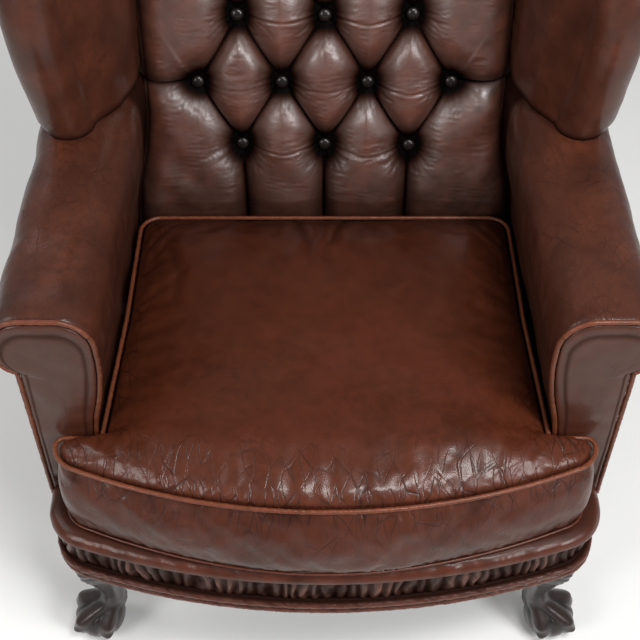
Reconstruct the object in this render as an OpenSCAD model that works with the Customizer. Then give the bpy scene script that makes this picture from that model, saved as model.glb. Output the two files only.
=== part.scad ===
/* [Overall] */
// Width over the rolled arms
overall_w = 800; // [740:5:880]
// Depth of the seat frame and its trim, from the front of the bow to the outer back at seat level
seat_frame_d = 640; // [600:5:700]
// Radius of the bowed front
bow_r = 1000; // [700:10:1400]
// Radius of the front corners of the seat frame
corner_r = 50; // [35:1:70]
// Lean of the back from upright, in degrees
recline = 12; // [8:0.5:16]
// Slope of the deck down to the back, in degrees
deck_slope = 1.25; // [0.75:0.25:4]

/* [Heights] */
// Height of the underside of the seat rails
rail_bottom_z = 236; // [200:1:280]
// Height of the seat rails
rail_h = 74; // [60:1:76]
// Height of the top of the arms
arm_top_z = 660; // [630:1:700]
// Length of the back from the rails up to the crest rail, along the lean
back_len = 722; // [690:2:740]

/* [Cushion] */
// Height of the cushion's sides
cushion_h = 118; // [100:1:140]
// Rise of the crown above the piping
crown_h = 26; // [12:1:40]
// Depth of the cushion on its centre line
cushion_d = 558; // [520:1:560]
// Half the cushion's width between the arms, at the back
cushion_half_w = 279; // [270:0.5:281]
// Radius of the cushion's bowed front
cushion_bow_r = 820; // [700:10:1400]
// How far the cushion widens on each side towards the front
cushion_spread = 8; // [0:0.5:10]
// How far each ear of the cushion reaches past the arm's inner face
ear_w = 58; // [40:1:64]
// Thickness of the cushion's leather
cover_t = 2.5; // [1.5:0.1:4]
// Radius of the piping
piping_r = 3.2; // [2.5:0.1:4.5]

/* [Arms and wings] */
// Distance from the front of the bow to the front of the arms
arm_setback = 150; // [130:1:180]
// Radius of the arm's roll
roll_r = 48; // [40:1:54]
// Width of the arm over its rolls
arm_w = 136; // [120:1:144]
// How much the arm's inner face falls back from the roll down to the seat
arm_hollow = 27; // [15:1:32]
// Reach of the wing in front of the back, at its widest
wing_reach = 250; // [200:5:280]
// Thickness of the wing
wing_t = 74; // [60:1:80]
// How far the wing spreads outwards at its front, as a share of its reach
wing_flare = 0.24; // [0.05:0.01:0.26]

/* [Tufted back] */
// Distance between buttons in a row
tuft_w = 124; // [100:1:126]
// Distance between the rows of buttons
tuft_h = 100; // [85:1:110]
// Height of the lowest row above the rails, along the lean
first_row = 228; // [215:1:260]
// Thickness of the padding under a button
button_depth = 20; // [14:1:26]
// Height of the tufts above the buttons
puff_h = 30; // [18:1:36]
// Radius of a button
button_r = 9.5; // [6:0.5:12]

/* [Legs] */
// Radius of the ball under the claws
ball_r = 37; // [30:1:42]
// Thickness of a glide
glide_t = 4; // [3:0.5:6]
// Width of a rear leg at the top
rear_leg_w = 46; // [40:1:52]

/* [Hidden] */

// Shared clearances and the overrun of every cut
gap = 0.3;
cut = 1;
front_step = 1;
web_gap = 1.5;

// Seat frame
rail_t = 30;
rail_top_z = rail_bottom_z + rail_h;
arm_out_x = overall_w / 2;
trim_t = 17;
rail_inset = 28;
rail_x = arm_out_x - rail_inset - trim_t;
front_y = -412;
rail_front_y = front_y + trim_t + front_step;
bow_y = rail_front_y + bow_r;
rail_rear_y = front_y + seat_frame_d;
arm_front_y = front_y + arm_setback;
arm_in_x = arm_out_x - arm_w;

// Back, in a frame that leans with it: v up the back, w out of its face
lean = tan(recline);
post_t = 45;
back_rail_t = 35;
back_y = rail_rear_y - post_t / cos(recline);
back_side_gap = 4;
back_half_w = arm_in_x - back_side_gap;
crest_r = 22;
web_t = 2;
strap_w = 44;

// Unit directions and simple lists
function mid(a, b, t) = a + (b - a) * t;
function back_face_y(z) = back_y + (z - rail_top_z) * lean;
function flip_x(p) = [for (i = [len(p) - 1 : -1 : 0]) if (p[i][0] > gap / 2) [-p[i][0], p[i][1]]];
function whole(half) = concat(half, flip_x(half));
function arc(c, r, a0, a1, n) = [for (i = [0 : n]) let (a = mid(a0, a1, i / n)) c + r * [cos(a), sin(a)]];
function at_z(p, z) = [for (q = p) [q[0], q[1], z]];
function backwards(p) = [for (i = [len(p) - 1 : -1 : 0]) p[i]];

// A skin through rings of equal length, each closed by a fan
module loft(rings) {
    n = len(rings[0]);
    m = len(rings);
    middle = [for (r = [rings[0], rings[m - 1]]) [for (k = [0 : 2]) [for (p = r) p[k]] * [for (p = r) 1] / n]];
    side = [for (i = [0 : m - 2], j = [0 : n - 1]) let (k = (j + 1) % n)
        each [[i * n + j, (i + 1) * n + k, i * n + k], [i * n + j, (i + 1) * n + j, (i + 1) * n + k]]];
    caps = [for (j = [0 : n - 1]) let (k = (j + 1) % n, e = (m - 1) * n)
        each [[m * n, j, k], [m * n + 1, e + k, e + j]]];
    polyhedron(concat([for (r = rings) each r], middle), concat(side, caps), convexity = 6);
}

// A wall between an outer and an inner path, swept from section to section
module wall_loft(outers, inners) {
    k = len(outers[0]);
    n = 2 * k;
    m = len(outers);
    rings = [for (i = [0 : m - 1]) concat(outers[i], backwards(inners[i]))];
    side = [for (i = [0 : m - 2], j = [0 : n - 1]) let (q = (j + 1) % n)
        each [[i * n + j, (i + 1) * n + q, i * n + q], [i * n + j, (i + 1) * n + j, (i + 1) * n + q]]];
    caps = [for (j = [0 : k - 2]) let (a = j, b = j + 1, c = n - 2 - j, d = n - 1 - j, e = (m - 1) * n)
        each [[a, b, c], [a, c, d], [e + a, e + c, e + b], [e + a, e + d, e + c]]];
    polyhedron([for (r = rings) each r], concat(side, caps), convexity = 6);
}

// A tube of six sides along points, open or closed into a loop
module tube(path, r, closed = false) {
    n = 6;
    m = len(path);
    rings = [for (i = [0 : m - 1])
        let (a = path[closed ? (i + m - 1) % m : max(i - 1, 0)],
            b = path[closed ? (i + 1) % m : min(i + 1, m - 1)],
            d = (b - a) / norm(b - a),
            u0 = abs(d[2]) < 0.9 ? cross([0, 0, 1], d) : cross(d, [1, 0, 0]),
            u = u0 / norm(u0),
            v = cross(d, u))
        [for (j = [0 : n - 1]) path[i] + r * (u * cos(j * 360 / n) + v * sin(j * 360 / n))]];
    pts = [for (ring = rings) each ring];
    last = closed ? m - 1 : m - 2;
    side = [for (i = [0 : last], j = [0 : n - 1]) let (i2 = (i + 1) % m, k = (j + 1) % n)
        each [[i * n + j, i2 * n + k, i * n + k], [i * n + j, i2 * n + j, i2 * n + k]]];
    caps = closed ? [] : [for (j = [1 : n - 2]) let (e = (m - 1) * n)
        each [[0, j, j + 1], [e, e + j + 1, e + j]]];
    polyhedron(pts, concat(side, caps), convexity = 6);
}

// A board with a side-view outline in Y and Z, between two places across the chair
module slab(x0, x1, outline) {
    translate([x0, 0, 0])
        rotate([90, 0, 90])
            linear_extrude(x1 - x0)
                polygon(outline);
}

module both_sides() {
    children();
    mirror([1, 0, 0])
        children();
}

module box(low, high) {
    translate(low)
        cube(high - low);
}

// Outline of the seat frame, moved out by o: bow, round corner and straight side, right half
corner_x = rail_x - corner_r;
corner_y = bow_y - sqrt(pow(bow_r - corner_r, 2) - pow(corner_x, 2));
tangent_a = atan2(corner_y - bow_y, corner_x);
function base_path(o, y_end, nf = 10, nc = 5) = concat(
    arc([0, bow_y], bow_r + o, -90, tangent_a, nf),
    arc([corner_x, corner_y], corner_r + o, tangent_a, 0, nc),
    [[rail_x + o, y_end]]);
function bow_at(x, o) = bow_y - sqrt(pow(bow_r + o, 2) - pow(x, 2));

// Leg blocks, which fill the corners of the seat frame
block_w = 52;
block_inset = 20;
block_x = corner_x - block_inset;
block_y = corner_y + block_inset;
rear_block_x = rail_x - rail_t - rear_leg_w;
rear_block_y = rail_rear_y - back_rail_t - rear_leg_w;
screw_r = 2.5;
screw_l = 62;
screw_inset = 10;
screw_step = 18;
screw_z = rail_bottom_z + rail_h / 2;
block_depth = 60;
block_h = 44;

module front_rail() {
    end_a = asin((block_x - gap) / bow_r);
    color("burlywood")
        translate([0, 0, rail_bottom_z])
            linear_extrude(rail_h)
                polygon(concat(
                    arc([0, bow_y], bow_r, -90 - end_a, -90 + end_a, 16),
                    arc([0, bow_y], bow_r - rail_t, -90 + end_a, -90 - end_a, 16)));
}

module screws(r) {
    both_sides() {
        translate([rail_x - screw_l - screw_inset, block_y + screw_step, screw_z])
            rotate([0, 90, 0])
                cylinder(h = screw_l, r = r, $fn = 24);
        translate([rear_block_x - screw_step, rail_rear_y - screw_l - screw_inset, screw_z])
            rotate([-90, 0, 0])
                cylinder(h = screw_l, r = r, $fn = 24);
    }
}

module back_rail() {
    color("burlywood")
        difference() {
            box([-rail_x + rail_t, rail_rear_y - back_rail_t, rail_bottom_z],
                [rail_x - rail_t, rail_rear_y, rail_top_z]);
            screws(screw_r);
        }
}

module side_rail() {
    color("burlywood")
        difference() {
            box([rail_x - rail_t, block_y, rail_bottom_z], [rail_x, rail_rear_y, rail_top_z]);
            screws(screw_r);
        }
}

module corner_blocks() {
    color("tan")
        difference() {
            both_sides()
                translate([0, 0, screw_z - block_h / 2])
                    linear_extrude(block_h) {
                        polygon([[rail_x - rail_t, block_y], [rail_x - rail_t, block_y + block_depth],
                            [rail_x - rail_t - block_depth, block_y]]);
                        polygon([[rear_block_x, rail_rear_y - back_rail_t],
                            [rear_block_x - block_depth, rail_rear_y - back_rail_t],
                            [rear_block_x, rail_rear_y - back_rail_t - block_depth]]);
                    }
            screws(screw_r);
        }
}

module corner_screws() {
    color("silver")
        screws(screw_r);
}

// Back frame: side-view outlines that lean with the back
function leaning(z, w) = [back_face_y(z) - w / cos(recline), z];
crest_v = back_len;
crest_z = rail_top_z + crest_v * cos(recline);
post_side_gap = 12;
post_in_x = back_half_w + post_side_gap;
post_w = 38;
crest_rail_h = 36;
lumbar_v = 70;
lumbar_h = 60;
lumbar_t = 30;
lumbar_inset = 5;

module back_post() {
    top_z = crest_z - (crest_rail_h + gap) * cos(recline) - post_t * sin(recline);
    color("burlywood")
        slab(post_in_x, post_in_x + post_w,
            [leaning(rail_top_z, 0), leaning(rail_top_z, -post_t), leaning(top_z, -post_t), leaning(top_z, 0)]);
}

// The frame of the back: v runs up the lean and -y comes out of its face
module on_back() {
    translate([0, back_y, rail_top_z])
        rotate([-recline, 0, 0])
            children();
}

module crest_rail() {
    color("burlywood")
        on_back() {
            translate([-post_in_x - post_w, crest_r, crest_v])
                rotate([0, 90, 0])
                    cylinder(h = 2 * (post_in_x + post_w), r = crest_r, $fn = 48);
            box([-post_in_x - post_w, 0, crest_v - crest_rail_h], [post_in_x + post_w, 2 * crest_r, crest_v]);
        }
}

module lumbar_rail() {
    color("burlywood")
        on_back()
            box([-post_in_x, lumbar_inset, lumbar_v],
                [post_in_x, lumbar_inset + lumbar_t, lumbar_v + lumbar_h]);
}

module back_webbing() {
    color("dimgray")
        on_back()
            difference() {
                for (i = [-2 : 4])
                    translate([-post_in_x - post_w / 2, -web_t, first_row + i * tuft_h - strap_w / 2])
                        cube([2 * post_in_x + post_w, web_t, strap_w]);
                for (b = buttons)
                    at_button(b, 0)
                        translate([0, 0, -cut])
                            cylinder(h = web_t + 2 * cut, r = twine_hole_r, $fn = 16);
            }
}

// Arm and wing frames
arm_rail_drop = 30;
arm_rail_z = arm_top_z - roll_r - arm_rail_drop;
arm_rail_h = 26;
arm_post_inset = 8;
arm_post_x = arm_in_x + roll_r - arm_post_inset;
arm_post_w = 34;
arm_post_d = 38;
arm_post_step = 22;
arm_post_y = arm_front_y + arm_post_step;

module arm_post() {
    color("burlywood")
        box([arm_post_x, arm_post_y, rail_top_z],
            [arm_post_x + arm_post_w, arm_post_y + arm_post_d, arm_rail_z]);
}

module arm_rail() {
    top_z = arm_rail_z + arm_rail_h;
    color("burlywood")
        slab(arm_post_x, arm_post_x + arm_post_w, [[arm_post_y, arm_rail_z], leaning(arm_rail_z, gap),
            leaning(top_z, gap), [arm_post_y, top_z]]);
}

wing_rise = 42;
wing_top_z = crest_z + wing_rise;
wing_post_inset = 2;
wing_post_x = arm_post_x + wing_post_inset;
wing_post_w = 20;
wing_stay_low = 170;
wing_stay_high = 105;
wing_stay_in = 100;
wing_stay_w = 40;
wing_stay_reach = 75;
module wing_frame() {
    color("burlywood")
        slab(wing_post_x, wing_post_x + wing_post_w, wing_outline(0));
}

// Front leg: height, step out along the corner's diagonal and half width, as shares
leg_h = rail_bottom_z - glide_t;
leg_rows_share = [[1, 0, 0.72], [0.93, 0.12, 0.84], [0.84, 0.24, 0.9], [0.74, 0.26, 0.82], [0.62, 0.16, 0.62],
    [0.5, 0.05, 0.46], [0.4, 0.06, 0.41], [0.33, 0.2, 0.46], [0.28, 0.42, 0.62], [0.23, 0.62, 0.86],
    [0.17, 0.76, 1], [0.1, 0.8, 0.99], [0.045, 0.8, 0.84], [0, 0.8, 0.6]];
out_share = [1.08, 0.02];
leg_x = block_x + block_w / 2;
leg_y = block_y - block_w / 2;

function round_square(c, r, z, k, n = 16) = [for (i = [0 : n - 1])
    let (a = i * 360 / n, q = pow(pow(abs(cos(a)), k) + pow(abs(sin(a)), k), -1 / k))
    [c[0] + r * q * cos(a), c[1] + r * q * sin(a), z]];

module front_leg() {
    foot = [for (i = [len(leg_rows_share) - 1 : -1 : 0]) leg_rows_share[i]];
    color([0.16, 0.09, 0.06]) {
        loft([for (s = foot) round_square([leg_x + s[1] * out_share[0] * ball_r,
            leg_y - s[1] * out_share[1] * ball_r], s[2] * ball_r, glide_t + s[0] * leg_h, mid(2, 4, s[0]))]);
        box([block_x, block_y - block_w, rail_bottom_z], [block_x + block_w, block_y, rail_top_z]);
    }
}

rear_rake = 92;
module rear_leg() {
    w = rear_leg_w / 2;
    cx = rear_block_x + w;
    cy = rear_block_y + w;
    foot = w * 0.74;
    rings = [[glide_t, rear_rake, foot], [rail_bottom_z * 0.5, rear_rake * 0.42, w * 0.88],
        [rail_bottom_z, 0, w]];
    color([0.16, 0.09, 0.06]) {
        loft([for (r = rings) [for (c = [[1, -1], [1, 1], [-1, 1], [-1, -1]])
            [cx + c[0] * r[2], cy + r[1] + c[1] * r[2], r[0]]]]);
        box([cx - w, cy - w, rail_bottom_z], [cx + w, cy + w, rail_top_z]);
    }
}

glide_r = 11;
module foot_glides() {
    step = leg_rows_share[len(leg_rows_share) - 1][1] * ball_r;
    color("silver")
        both_sides() {
            translate([leg_x + step * out_share[0], leg_y - step * out_share[1], 0])
                cylinder(h = glide_t, r = glide_r, $fn = 48);
            translate([rear_block_x + rear_leg_w / 2, rear_block_y + rear_leg_w / 2 + rear_rake, 0])
                cylinder(h = glide_t, r = glide_r, $fn = 48);
        }
}

// Seat suspension
spring_t = 4;
spring_n = 5;
spring_gap = 105;
spring_half_w = 24;
spring_inset = 20;
spring_end_y = rail_rear_y - spring_inset;
clip_w = 16;
clip_t = 1.2;

module seat_springs() {
    n = 20;
    color("gray")
        for (k = [0 : spring_n - 1]) {
            x = (k - (spring_n - 1) / 2) * spring_gap;
            y0 = bow_at(x - spring_half_w, -rail_t * 0.75);
            edge = [for (i = [0 : n])
                [x + (i % 2 == 0 ? -1 : 1) * spring_half_w, mid(y0, spring_end_y, i / n)]];
            translate([0, 0, rail_top_z])
                linear_extrude(spring_t)
                    polygon(concat(edge, [for (p = backwards(edge)) [p[0] + 2 * spring_t, p[1]]]));
        }
}

module spring_clips() {
    color("silver")
        for (k = [0 : spring_n - 1], end = [0, 1]) {
            x = (k - (spring_n - 1) / 2) * spring_gap - spring_half_w;
            y = end == 0 ? bow_at(x, -rail_t * 0.75) : spring_end_y;
            translate([x - clip_w / 4, y - clip_w / 4, rail_top_z + spring_t])
                cube([clip_w * 0.75, clip_w, clip_t]);
        }
}

// Deck: its top slopes down to the back, and the cushion slides along it
deck_rise = 26;
deck_z = rail_top_z + deck_rise;
roll_w = 12;
deck_cover_t = 2;
deck_back_gap = 74;
deck_rear_y = rail_rear_y - deck_back_gap;
deck_side_gap = 5;
deck_half_w = cushion_half_w + deck_side_gap;

module on_deck() {
    translate([0, front_y, deck_z])
        rotate([-deck_slope, 0, 0])
            translate([0, -front_y, 0])
                children();
}

function deck_outline() = let (y = arm_front_y - facing_t - 3 * gap)
    whole(concat(base_path(-roll_w - gap, y), [[deck_half_w, y], [deck_half_w, deck_rear_y]]));

burlap_inset = 6;
burlap_t = 1;
module burlap() {
    color("peru")
        translate([0, 0, rail_top_z + spring_t + gap])
            linear_extrude(burlap_t)
                polygon(whole(concat(arc([0, bow_y], bow_r - rail_t - burlap_inset, -90, -72, 8),
                    [[post_in_x, deck_rear_y]])));
}

module deck_padding() {
    low = rail_top_z + spring_t + clip_t + 2 * gap;
    high = deck_z - deck_cover_t - gap;
    color("wheat")
        intersection() {
            translate([0, 0, low])
                linear_extrude(deck_z - low)
                    polygon(deck_outline());
            slab(-rail_x, rail_x, [[front_y, low], [rail_rear_y, low],
                [rail_rear_y, high - (rail_rear_y - front_y) * tan(deck_slope)], [front_y, high]]);
        }
}

module deck_cover() {
    color([0.2, 0.12, 0.09])
        on_deck()
            translate([0, 0, -deck_cover_t])
                linear_extrude(deck_cover_t)
                    polygon(deck_outline());
}

module border_roll() {
    low = panel_low_z;
    high = deck_z - arm_setback * tan(deck_slope);
    wide_share = [[0, 0.5], [0.09, 0.85], [0.17, 1], [0.18, 1], [0.5, 1], [0.75, 0.88], [0.92, 0.5], [1, 0.05]];
    y_end = arm_front_y - facing_t - 2 * gap;
    color([0.3, 0.15, 0.1])
        wall_loft(
            [for (s = wide_share) at_z(whole_open(base_path(s[1] * trim_t, y_end)), mid(low, high, s[0]))],
            [for (s = wide_share) let (z = mid(low, high, s[0]))
                at_z(whole_open(base_path(z < rail_top_z + gap ? gap : -roll_w, y_end)), z)]);
}

function whole_open(half) = concat(flip_x(half), half);

// Gathered strip under the roll, and two beads below it
strip_end = 8;
strip_rear_y = rail_rear_y - strip_end;
fold_in = 8;
fold_depth = 6;
bead_r = 5.5;
module ruched_strip() {
    low = rail_bottom_z + 4 * bead_r + 2 * gap;
    path = base_path(fold_in, strip_rear_y, 34, 9);
    side = [for (i = [1 : 40]) [rail_x + fold_in, mid(corner_y, strip_rear_y, i / 40)]];
    line = whole_open(concat([for (i = [0 : len(path) - 2]) path[i]], side));
    n = len(line);
    outer = [for (i = [0 : n - 1])
        let (a = line[max(i - 1, 0)], b = line[min(i + 1, n - 1)], d = (b - a) / norm(b - a))
        line[i] + [d[1], -d[0]] * (i % 2 == 0 ? fold_depth : 0)];
    color([0.22, 0.11, 0.08])
        translate([0, 0, low])
            linear_extrude(panel_low_z - gap - low)
                polygon(concat(outer, backwards(whole_open(base_path(gap, strip_rear_y, 10, 5)))));
}

function bead_path(o) = whole_open(base_path(o, strip_rear_y, 9, 4));
module base_piping() {
    step = 2 * bead_r + gap;
    profile = [for (k = [0, 1], a = [-90 : 45 : 90])
        [trim_t - bead_r + bead_r * cos(a), rail_bottom_z + bead_r + step * k + bead_r * sin(a)]];
    color([0.45, 0.2, 0.13])
        wall_loft([for (q = profile) at_z(bead_path(q[0]), q[1])],
            [for (q = profile) at_z(bead_path(gap), q[1])]);
}

dust_t = 1;
dust_inset = 10;
dust_clear = 16;
module dust_cover() {
    color("black")
        translate([0, 0, rail_bottom_z - dust_t])
            linear_extrude(dust_t)
                difference() {
                    polygon(whole(base_path(-dust_inset, rail_rear_y - dust_inset)));
                    for (side = [-1, 1]) {
                        translate([side * leg_x, leg_y])
                            square(block_w + dust_clear, center = true);
                        translate([side * (rear_block_x + rear_leg_w / 2), rear_block_y + rear_leg_w / 2])
                            square(rear_leg_w + dust_clear, center = true);
                    }
                }
}

// Rolled arm: the section in X and Z, moved out by o, at a place y along the arm
roll_x = arm_out_x - roll_r;
roll_z = arm_top_z - roll_r;
inner_roll_x = arm_in_x + roll_r;
panel_x = rail_x + trim_t;
trim_h = 75;
panel_low_z = rail_bottom_z + trim_h;
deck_side_rise = 17;
deck_side_z = rail_top_z + deck_side_rise;
arm_spread = 0.02;
hollow_share = [[0.12, 0], [0.3, 0.25], [0.5, 0.75], [0.7, 0.96], [1, 1]];
function arm_path(o) = concat(
    [[panel_x + o, panel_low_z]],
    arc([roll_x, roll_z], roll_r + o, -acos((panel_x + o - roll_x) / (roll_r + o)), 90, 8),
    arc([inner_roll_x, roll_z], roll_r + o, 90, 180, 5),
    [for (s = hollow_share)
        [arm_in_x + arm_hollow * s[1] - o, mid(roll_z, deck_side_z, s[0])]]);
function rear_w(x) = mid(web_t + web_gap, -panel_gap + gap,
    min(1, max(0, (x - inner_roll_x) / (roll_x - inner_roll_x))));
function arm_ring(t, path, y_end = arm_front_y) = [for (p = path)
    let (y = mid(leaning(p[1], rear_w(p[0]))[0], y_end, t))
    [p[0] + arm_spread * (back_y - y) * (arm_out_x - p[0]) / arm_w, y, p[1]]];
arm_stations = [for (i = [0 : 4]) i / 4];

module arm_cover() {
    color([0.3, 0.15, 0.1])
        difference() {
            wall_loft([for (t = arm_stations) arm_ring(t, arm_path(0))],
                [for (t = arm_stations) arm_ring(t, arm_path(-cover_t))]);
            slab(wing_post_x - gap, wing_post_x + wing_post_w + gap, wing_outline(gap));
        }
}

module frame_room() {
    c = gap;
    box([arm_post_x - c, arm_post_y - c, panel_low_z - cut], [arm_post_x + arm_post_w + c,
        arm_post_y + arm_post_d + c, arm_rail_z + arm_rail_h + c]);
    box([arm_post_x - c, arm_post_y - c, arm_rail_z - c], [arm_post_x + arm_post_w + c,
        -front_y, arm_rail_z + arm_rail_h + c]);
    slab(back_half_w - cut, post_in_x + post_w + c, [leaning(0, web_t + c), [overall_w, 0],
        [overall_w, crest_z + overall_w], leaning(crest_z + overall_w, web_t + c)]);
    slab(wing_post_x - c, wing_post_x + wing_post_w + c, wing_outline(c));
}

function wing_outline(c) = let (z0 = arm_rail_z + arm_rail_h,
        z1 = wing_top_z - wing_stay_low,
        z2 = wing_top_z - wing_stay_high,
        y0 = leaning(z1, wing_reach)[0] + wing_stay_in)
    [[y0 - c, z0], [y0 + wing_stay_w + c, z0], [y0 + wing_stay_w + c, z1 - c], leaning(z1 - c, gap - c),
        leaning(z2 + c, gap - c), [y0 + wing_stay_reach - c, z2 + c], [y0 - c, z1 + c]];

module arm_padding() {
    o = -cover_t - gap;
    low = rail_top_z + gap;
    path = [for (p = arm_path(o)) [p[0], max(p[1], low)]];
    color("wheat")
        difference() {
            loft([for (t = arm_stations) arm_ring(t, path)]);
            frame_room();
        }
}

// Facing on the front of the arm, with piping round its edge
facing_t = 6;
facing_inset = 4.5;
facing_edge = 3;
facing_share = [[0, 0], [0.6, 0], [1, 1]];
module arm_front() {
    color([0.3, 0.15, 0.1])
        loft([for (s = facing_share) arm_ring(1, arm_path(-facing_inset - s[1] * facing_edge),
            arm_front_y - gap - s[0] * facing_t)]);
}

module arm_piping() {
    ring = arm_ring(1, arm_path(piping_r + 3 * gap - facing_inset), arm_front_y - piping_r);
    color([0.45, 0.2, 0.13])
        both_sides()
            tube([for (i = [0 : len(ring) - 2]) ring[i]], piping_r);
}

// Wing: the section in X and Y at a height z, moved out by o, open at the back
wing_low_z = arm_top_z + gap;
wing_wide_h = 170;
wing_wide_z = arm_top_z + wing_wide_h;
wing_side_gap = 1;
wing_in_x = arm_in_x + wing_side_gap;
wing_pinch = 6;
wing_pinch_h = 20;
function wing_front_y(z) = leaning(wing_wide_z, wing_reach)[0] + (z < wing_wide_z
    ? wing_reach * 0.1 * pow((wing_wide_z - z) / (wing_wide_z - wing_low_z), 2)
    : wing_reach * 1.12 * (1 - sqrt(max(0, 1 - pow((z - wing_wide_z) / (wing_top_z - wing_wide_z), 2)))));
function wing_path(z, o) = let (
        pinch = wing_pinch * max(0, 1 - (z - wing_low_z) / wing_pinch_h),
        yi = leaning(z, web_t + web_gap)[0],
        yr = leaning(z, gap - panel_gap)[0],
        yf = wing_front_y(z) - o,
        flare = (back_face_y(z) - yf) * wing_flare,
        xi = wing_in_x + pinch - o,
        xo = wing_in_x + wing_t - pinch + o,
        r = (wing_t + 2 * o - 2 * pinch) / 2)
    concat([[xi, yi], [xi, mid(yi, yf + r, 0.35)], [xi + flare * 0.4, mid(yi, yf + r, 0.75)]],
        arc([xi + r + flare, yf + r], r, 180, 360, 6),
        [[xo + flare * 0.4, mid(yr, yf + r, 0.75)], [xo, mid(yr, yf + r, 0.35)], [xo, yr]]);
wing_share = [0, 0.03, 0.08, 0.25, 0.45, 0.62, 0.76, 0.87, 0.94, 0.985];
wing_heights = [for (t = wing_share) mid(wing_low_z, wing_top_z, t)];
wing_cap_z = wing_heights[len(wing_heights) - 1];

module wing_cover() {
    t = cover_t;
    color([0.3, 0.15, 0.1]) {
        wall_loft([for (z = wing_heights) at_z(wing_path(z, 0), z)],
            [for (z = wing_heights) at_z(wing_path(z, -t), z)]);
        translate([0, 0, wing_cap_z - t])
            linear_extrude(t)
                polygon(concat([[wing_in_x, leaning(wing_cap_z, gap - panel_gap)[0]]],
                    wing_path(wing_cap_z, 0)));
    }
}

module wing_padding() {
    o = -cover_t - 4 * gap;
    color("wheat")
        difference() {
            loft([for (i = [0 : len(wing_heights) - 2]) at_z(wing_path(wing_heights[i], o), wing_heights[i])]);
            frame_room();
        }
}

// Tufting: buttons in rows of three and four, and the pleats that join them
rows = 5;
buttons = [for (j = [0 : rows - 1], i = [0 : (j % 2 == 0 ? 2 : 3)])
    [(i - (j % 2 == 0 ? 1 : 1.5)) * tuft_w, first_row + j * tuft_h]];
top_row = first_row + (rows - 1) * tuft_h;
pleats = concat(
    [for (a = buttons, b = buttons)
        if (abs(b[1] - a[1] - tuft_h) < gap && abs(b[0] - a[0]) < tuft_w * 0.6) [a, b]],
    [for (a = buttons) if (a[1] < first_row + gap) [a, [a[0], 0]]],
    [for (a = buttons) if (a[1] > top_row - gap) [a, [a[0], top_row + 3 * tuft_h]]],
    [for (a = buttons) if (abs(a[0]) > tuft_w * 1.4) [a, [sign(a[0]) * 4 * tuft_w, a[1]]]]);
tuft_edge = 34;
pleat_r = 20;
well_r = 30;
low_fade = 140;
function to_pleat(p, s) = let (d = s[1] - s[0], t = min(1, max(0, (p - s[0]) * d / (d * d))))
    norm(p - s[0] - t * d);
function tuft(u, v) = let (
        db = min([for (b = buttons) norm([u, v] - b)]),
        dp = min([for (s = pleats) to_pleat([u, v], s)]),
        side = min(1, max(0, (back_edge(v) - abs(u)) / tuft_edge)),
        round_off = sqrt(1 - pow(1 - side, 2)),
        low = 0.35 + 0.65 * min(1, v / low_fade),
        high = v <= crest_v ? 1 : mid(0.8, 0.2, (v - crest_v) / (PI * crest_r)))
    (button_depth + puff_h * high * (0.25 + 0.75 * (1 - exp(-dp / pleat_r))) * (1 - exp(-pow(db / well_r, 2))))
        * low * mid(0.4, 1, round_off);
function over_crest(u, s, h) = s <= crest_v ? [u, -h, s]
    : let (a = (s - crest_v) / crest_r * 180 / PI)
        [u, crest_r - (crest_r + h) * cos(a), crest_v + (crest_r + h) * sin(a)];
tuft_u = concat([-1], [for (i = [-8 : 8]) i * tuft_w / 4 / back_half_w], [1]);
function back_edge(v) = let (s = (roll_z - rail_top_z - v * cos(recline)) / (roll_z - deck_side_z))
    back_half_w + (s <= 0 ? 0 : arm_hollow * lookup(min(1, s), hollow_share));
function tuft_x(t, v) = abs(t) < 1 ? t * back_half_w : t * back_edge(v);
tuft_v = concat([for (t = [0.06, 0.26, 0.46, 0.66, 0.84]) t * first_row],
    [for (j = [0 : 4 * (rows - 1)]) first_row + j * tuft_h / 4],
    [for (t = [1 : 4]) mid(top_row, crest_v, t / 4)],
    [for (a = [35, 70, 105, 140, 170, 192]) crest_v + a * PI / 180 * crest_r]);

// A solid between two grids of points, front and back
module grid_solid(f, b) {
    m = len(f) - 1;
    n = len(f[0]) - 1;
    w = n + 1;
    k = w * (m + 1);
    face = [for (i = [0 : m - 1], j = [0 : n - 1]) let (a = i * w + j, c = a + w)
        each [[a, c + 1, a + 1], [a, c, c + 1],
            [k + a, k + a + 1, k + c + 1], [k + a, k + c + 1, k + c]]];
    rims = [for (j = [0 : n - 1]) let (e = m * w + j)
        each [[j, j + 1, k + j + 1], [j, k + j + 1, k + j], [e, k + e, k + e + 1], [e, k + e + 1, e + 1]]];
    ends = [for (i = [0 : m - 1]) let (a = i * w, c = a + w, e = a + n, g = c + n)
        each [[a, k + a, k + c], [a, k + c, c], [e, g, k + g], [e, k + g, k + e]]];
    polyhedron(concat([for (r = f) each r], [for (r = b) each r]), concat(face, rims, ends), convexity = 8);
}
function tuft_grid(t) = [for (v = tuft_v) [for (q = tuft_u) let (u = tuft_x(q, v)) over_crest(u, v, tuft(u, v) - t)]];

module back_cover() {
    color([0.25, 0.13, 0.1])
        on_back()
            grid_solid(tuft_grid(0), tuft_grid(cover_t));
}

twine_hole_r = 1.5;
module at_button(b, h) {
    translate([b[0], -h, b[1]])
        rotate([90, 0, 0])
            children();
}

module back_padding() {
    flat = [for (v = tuft_v) [for (q = tuft_u) over_crest(tuft_x(q, v), v, web_t + gap)]];
    color("wheat")
        on_back()
            difference() {
                grid_solid(tuft_grid(cover_t + gap), flat);
                for (b = buttons)
                    at_button(b, 0)
                        cylinder(h = button_depth, r = twine_hole_r, $fn = 16);
            }
}

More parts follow.
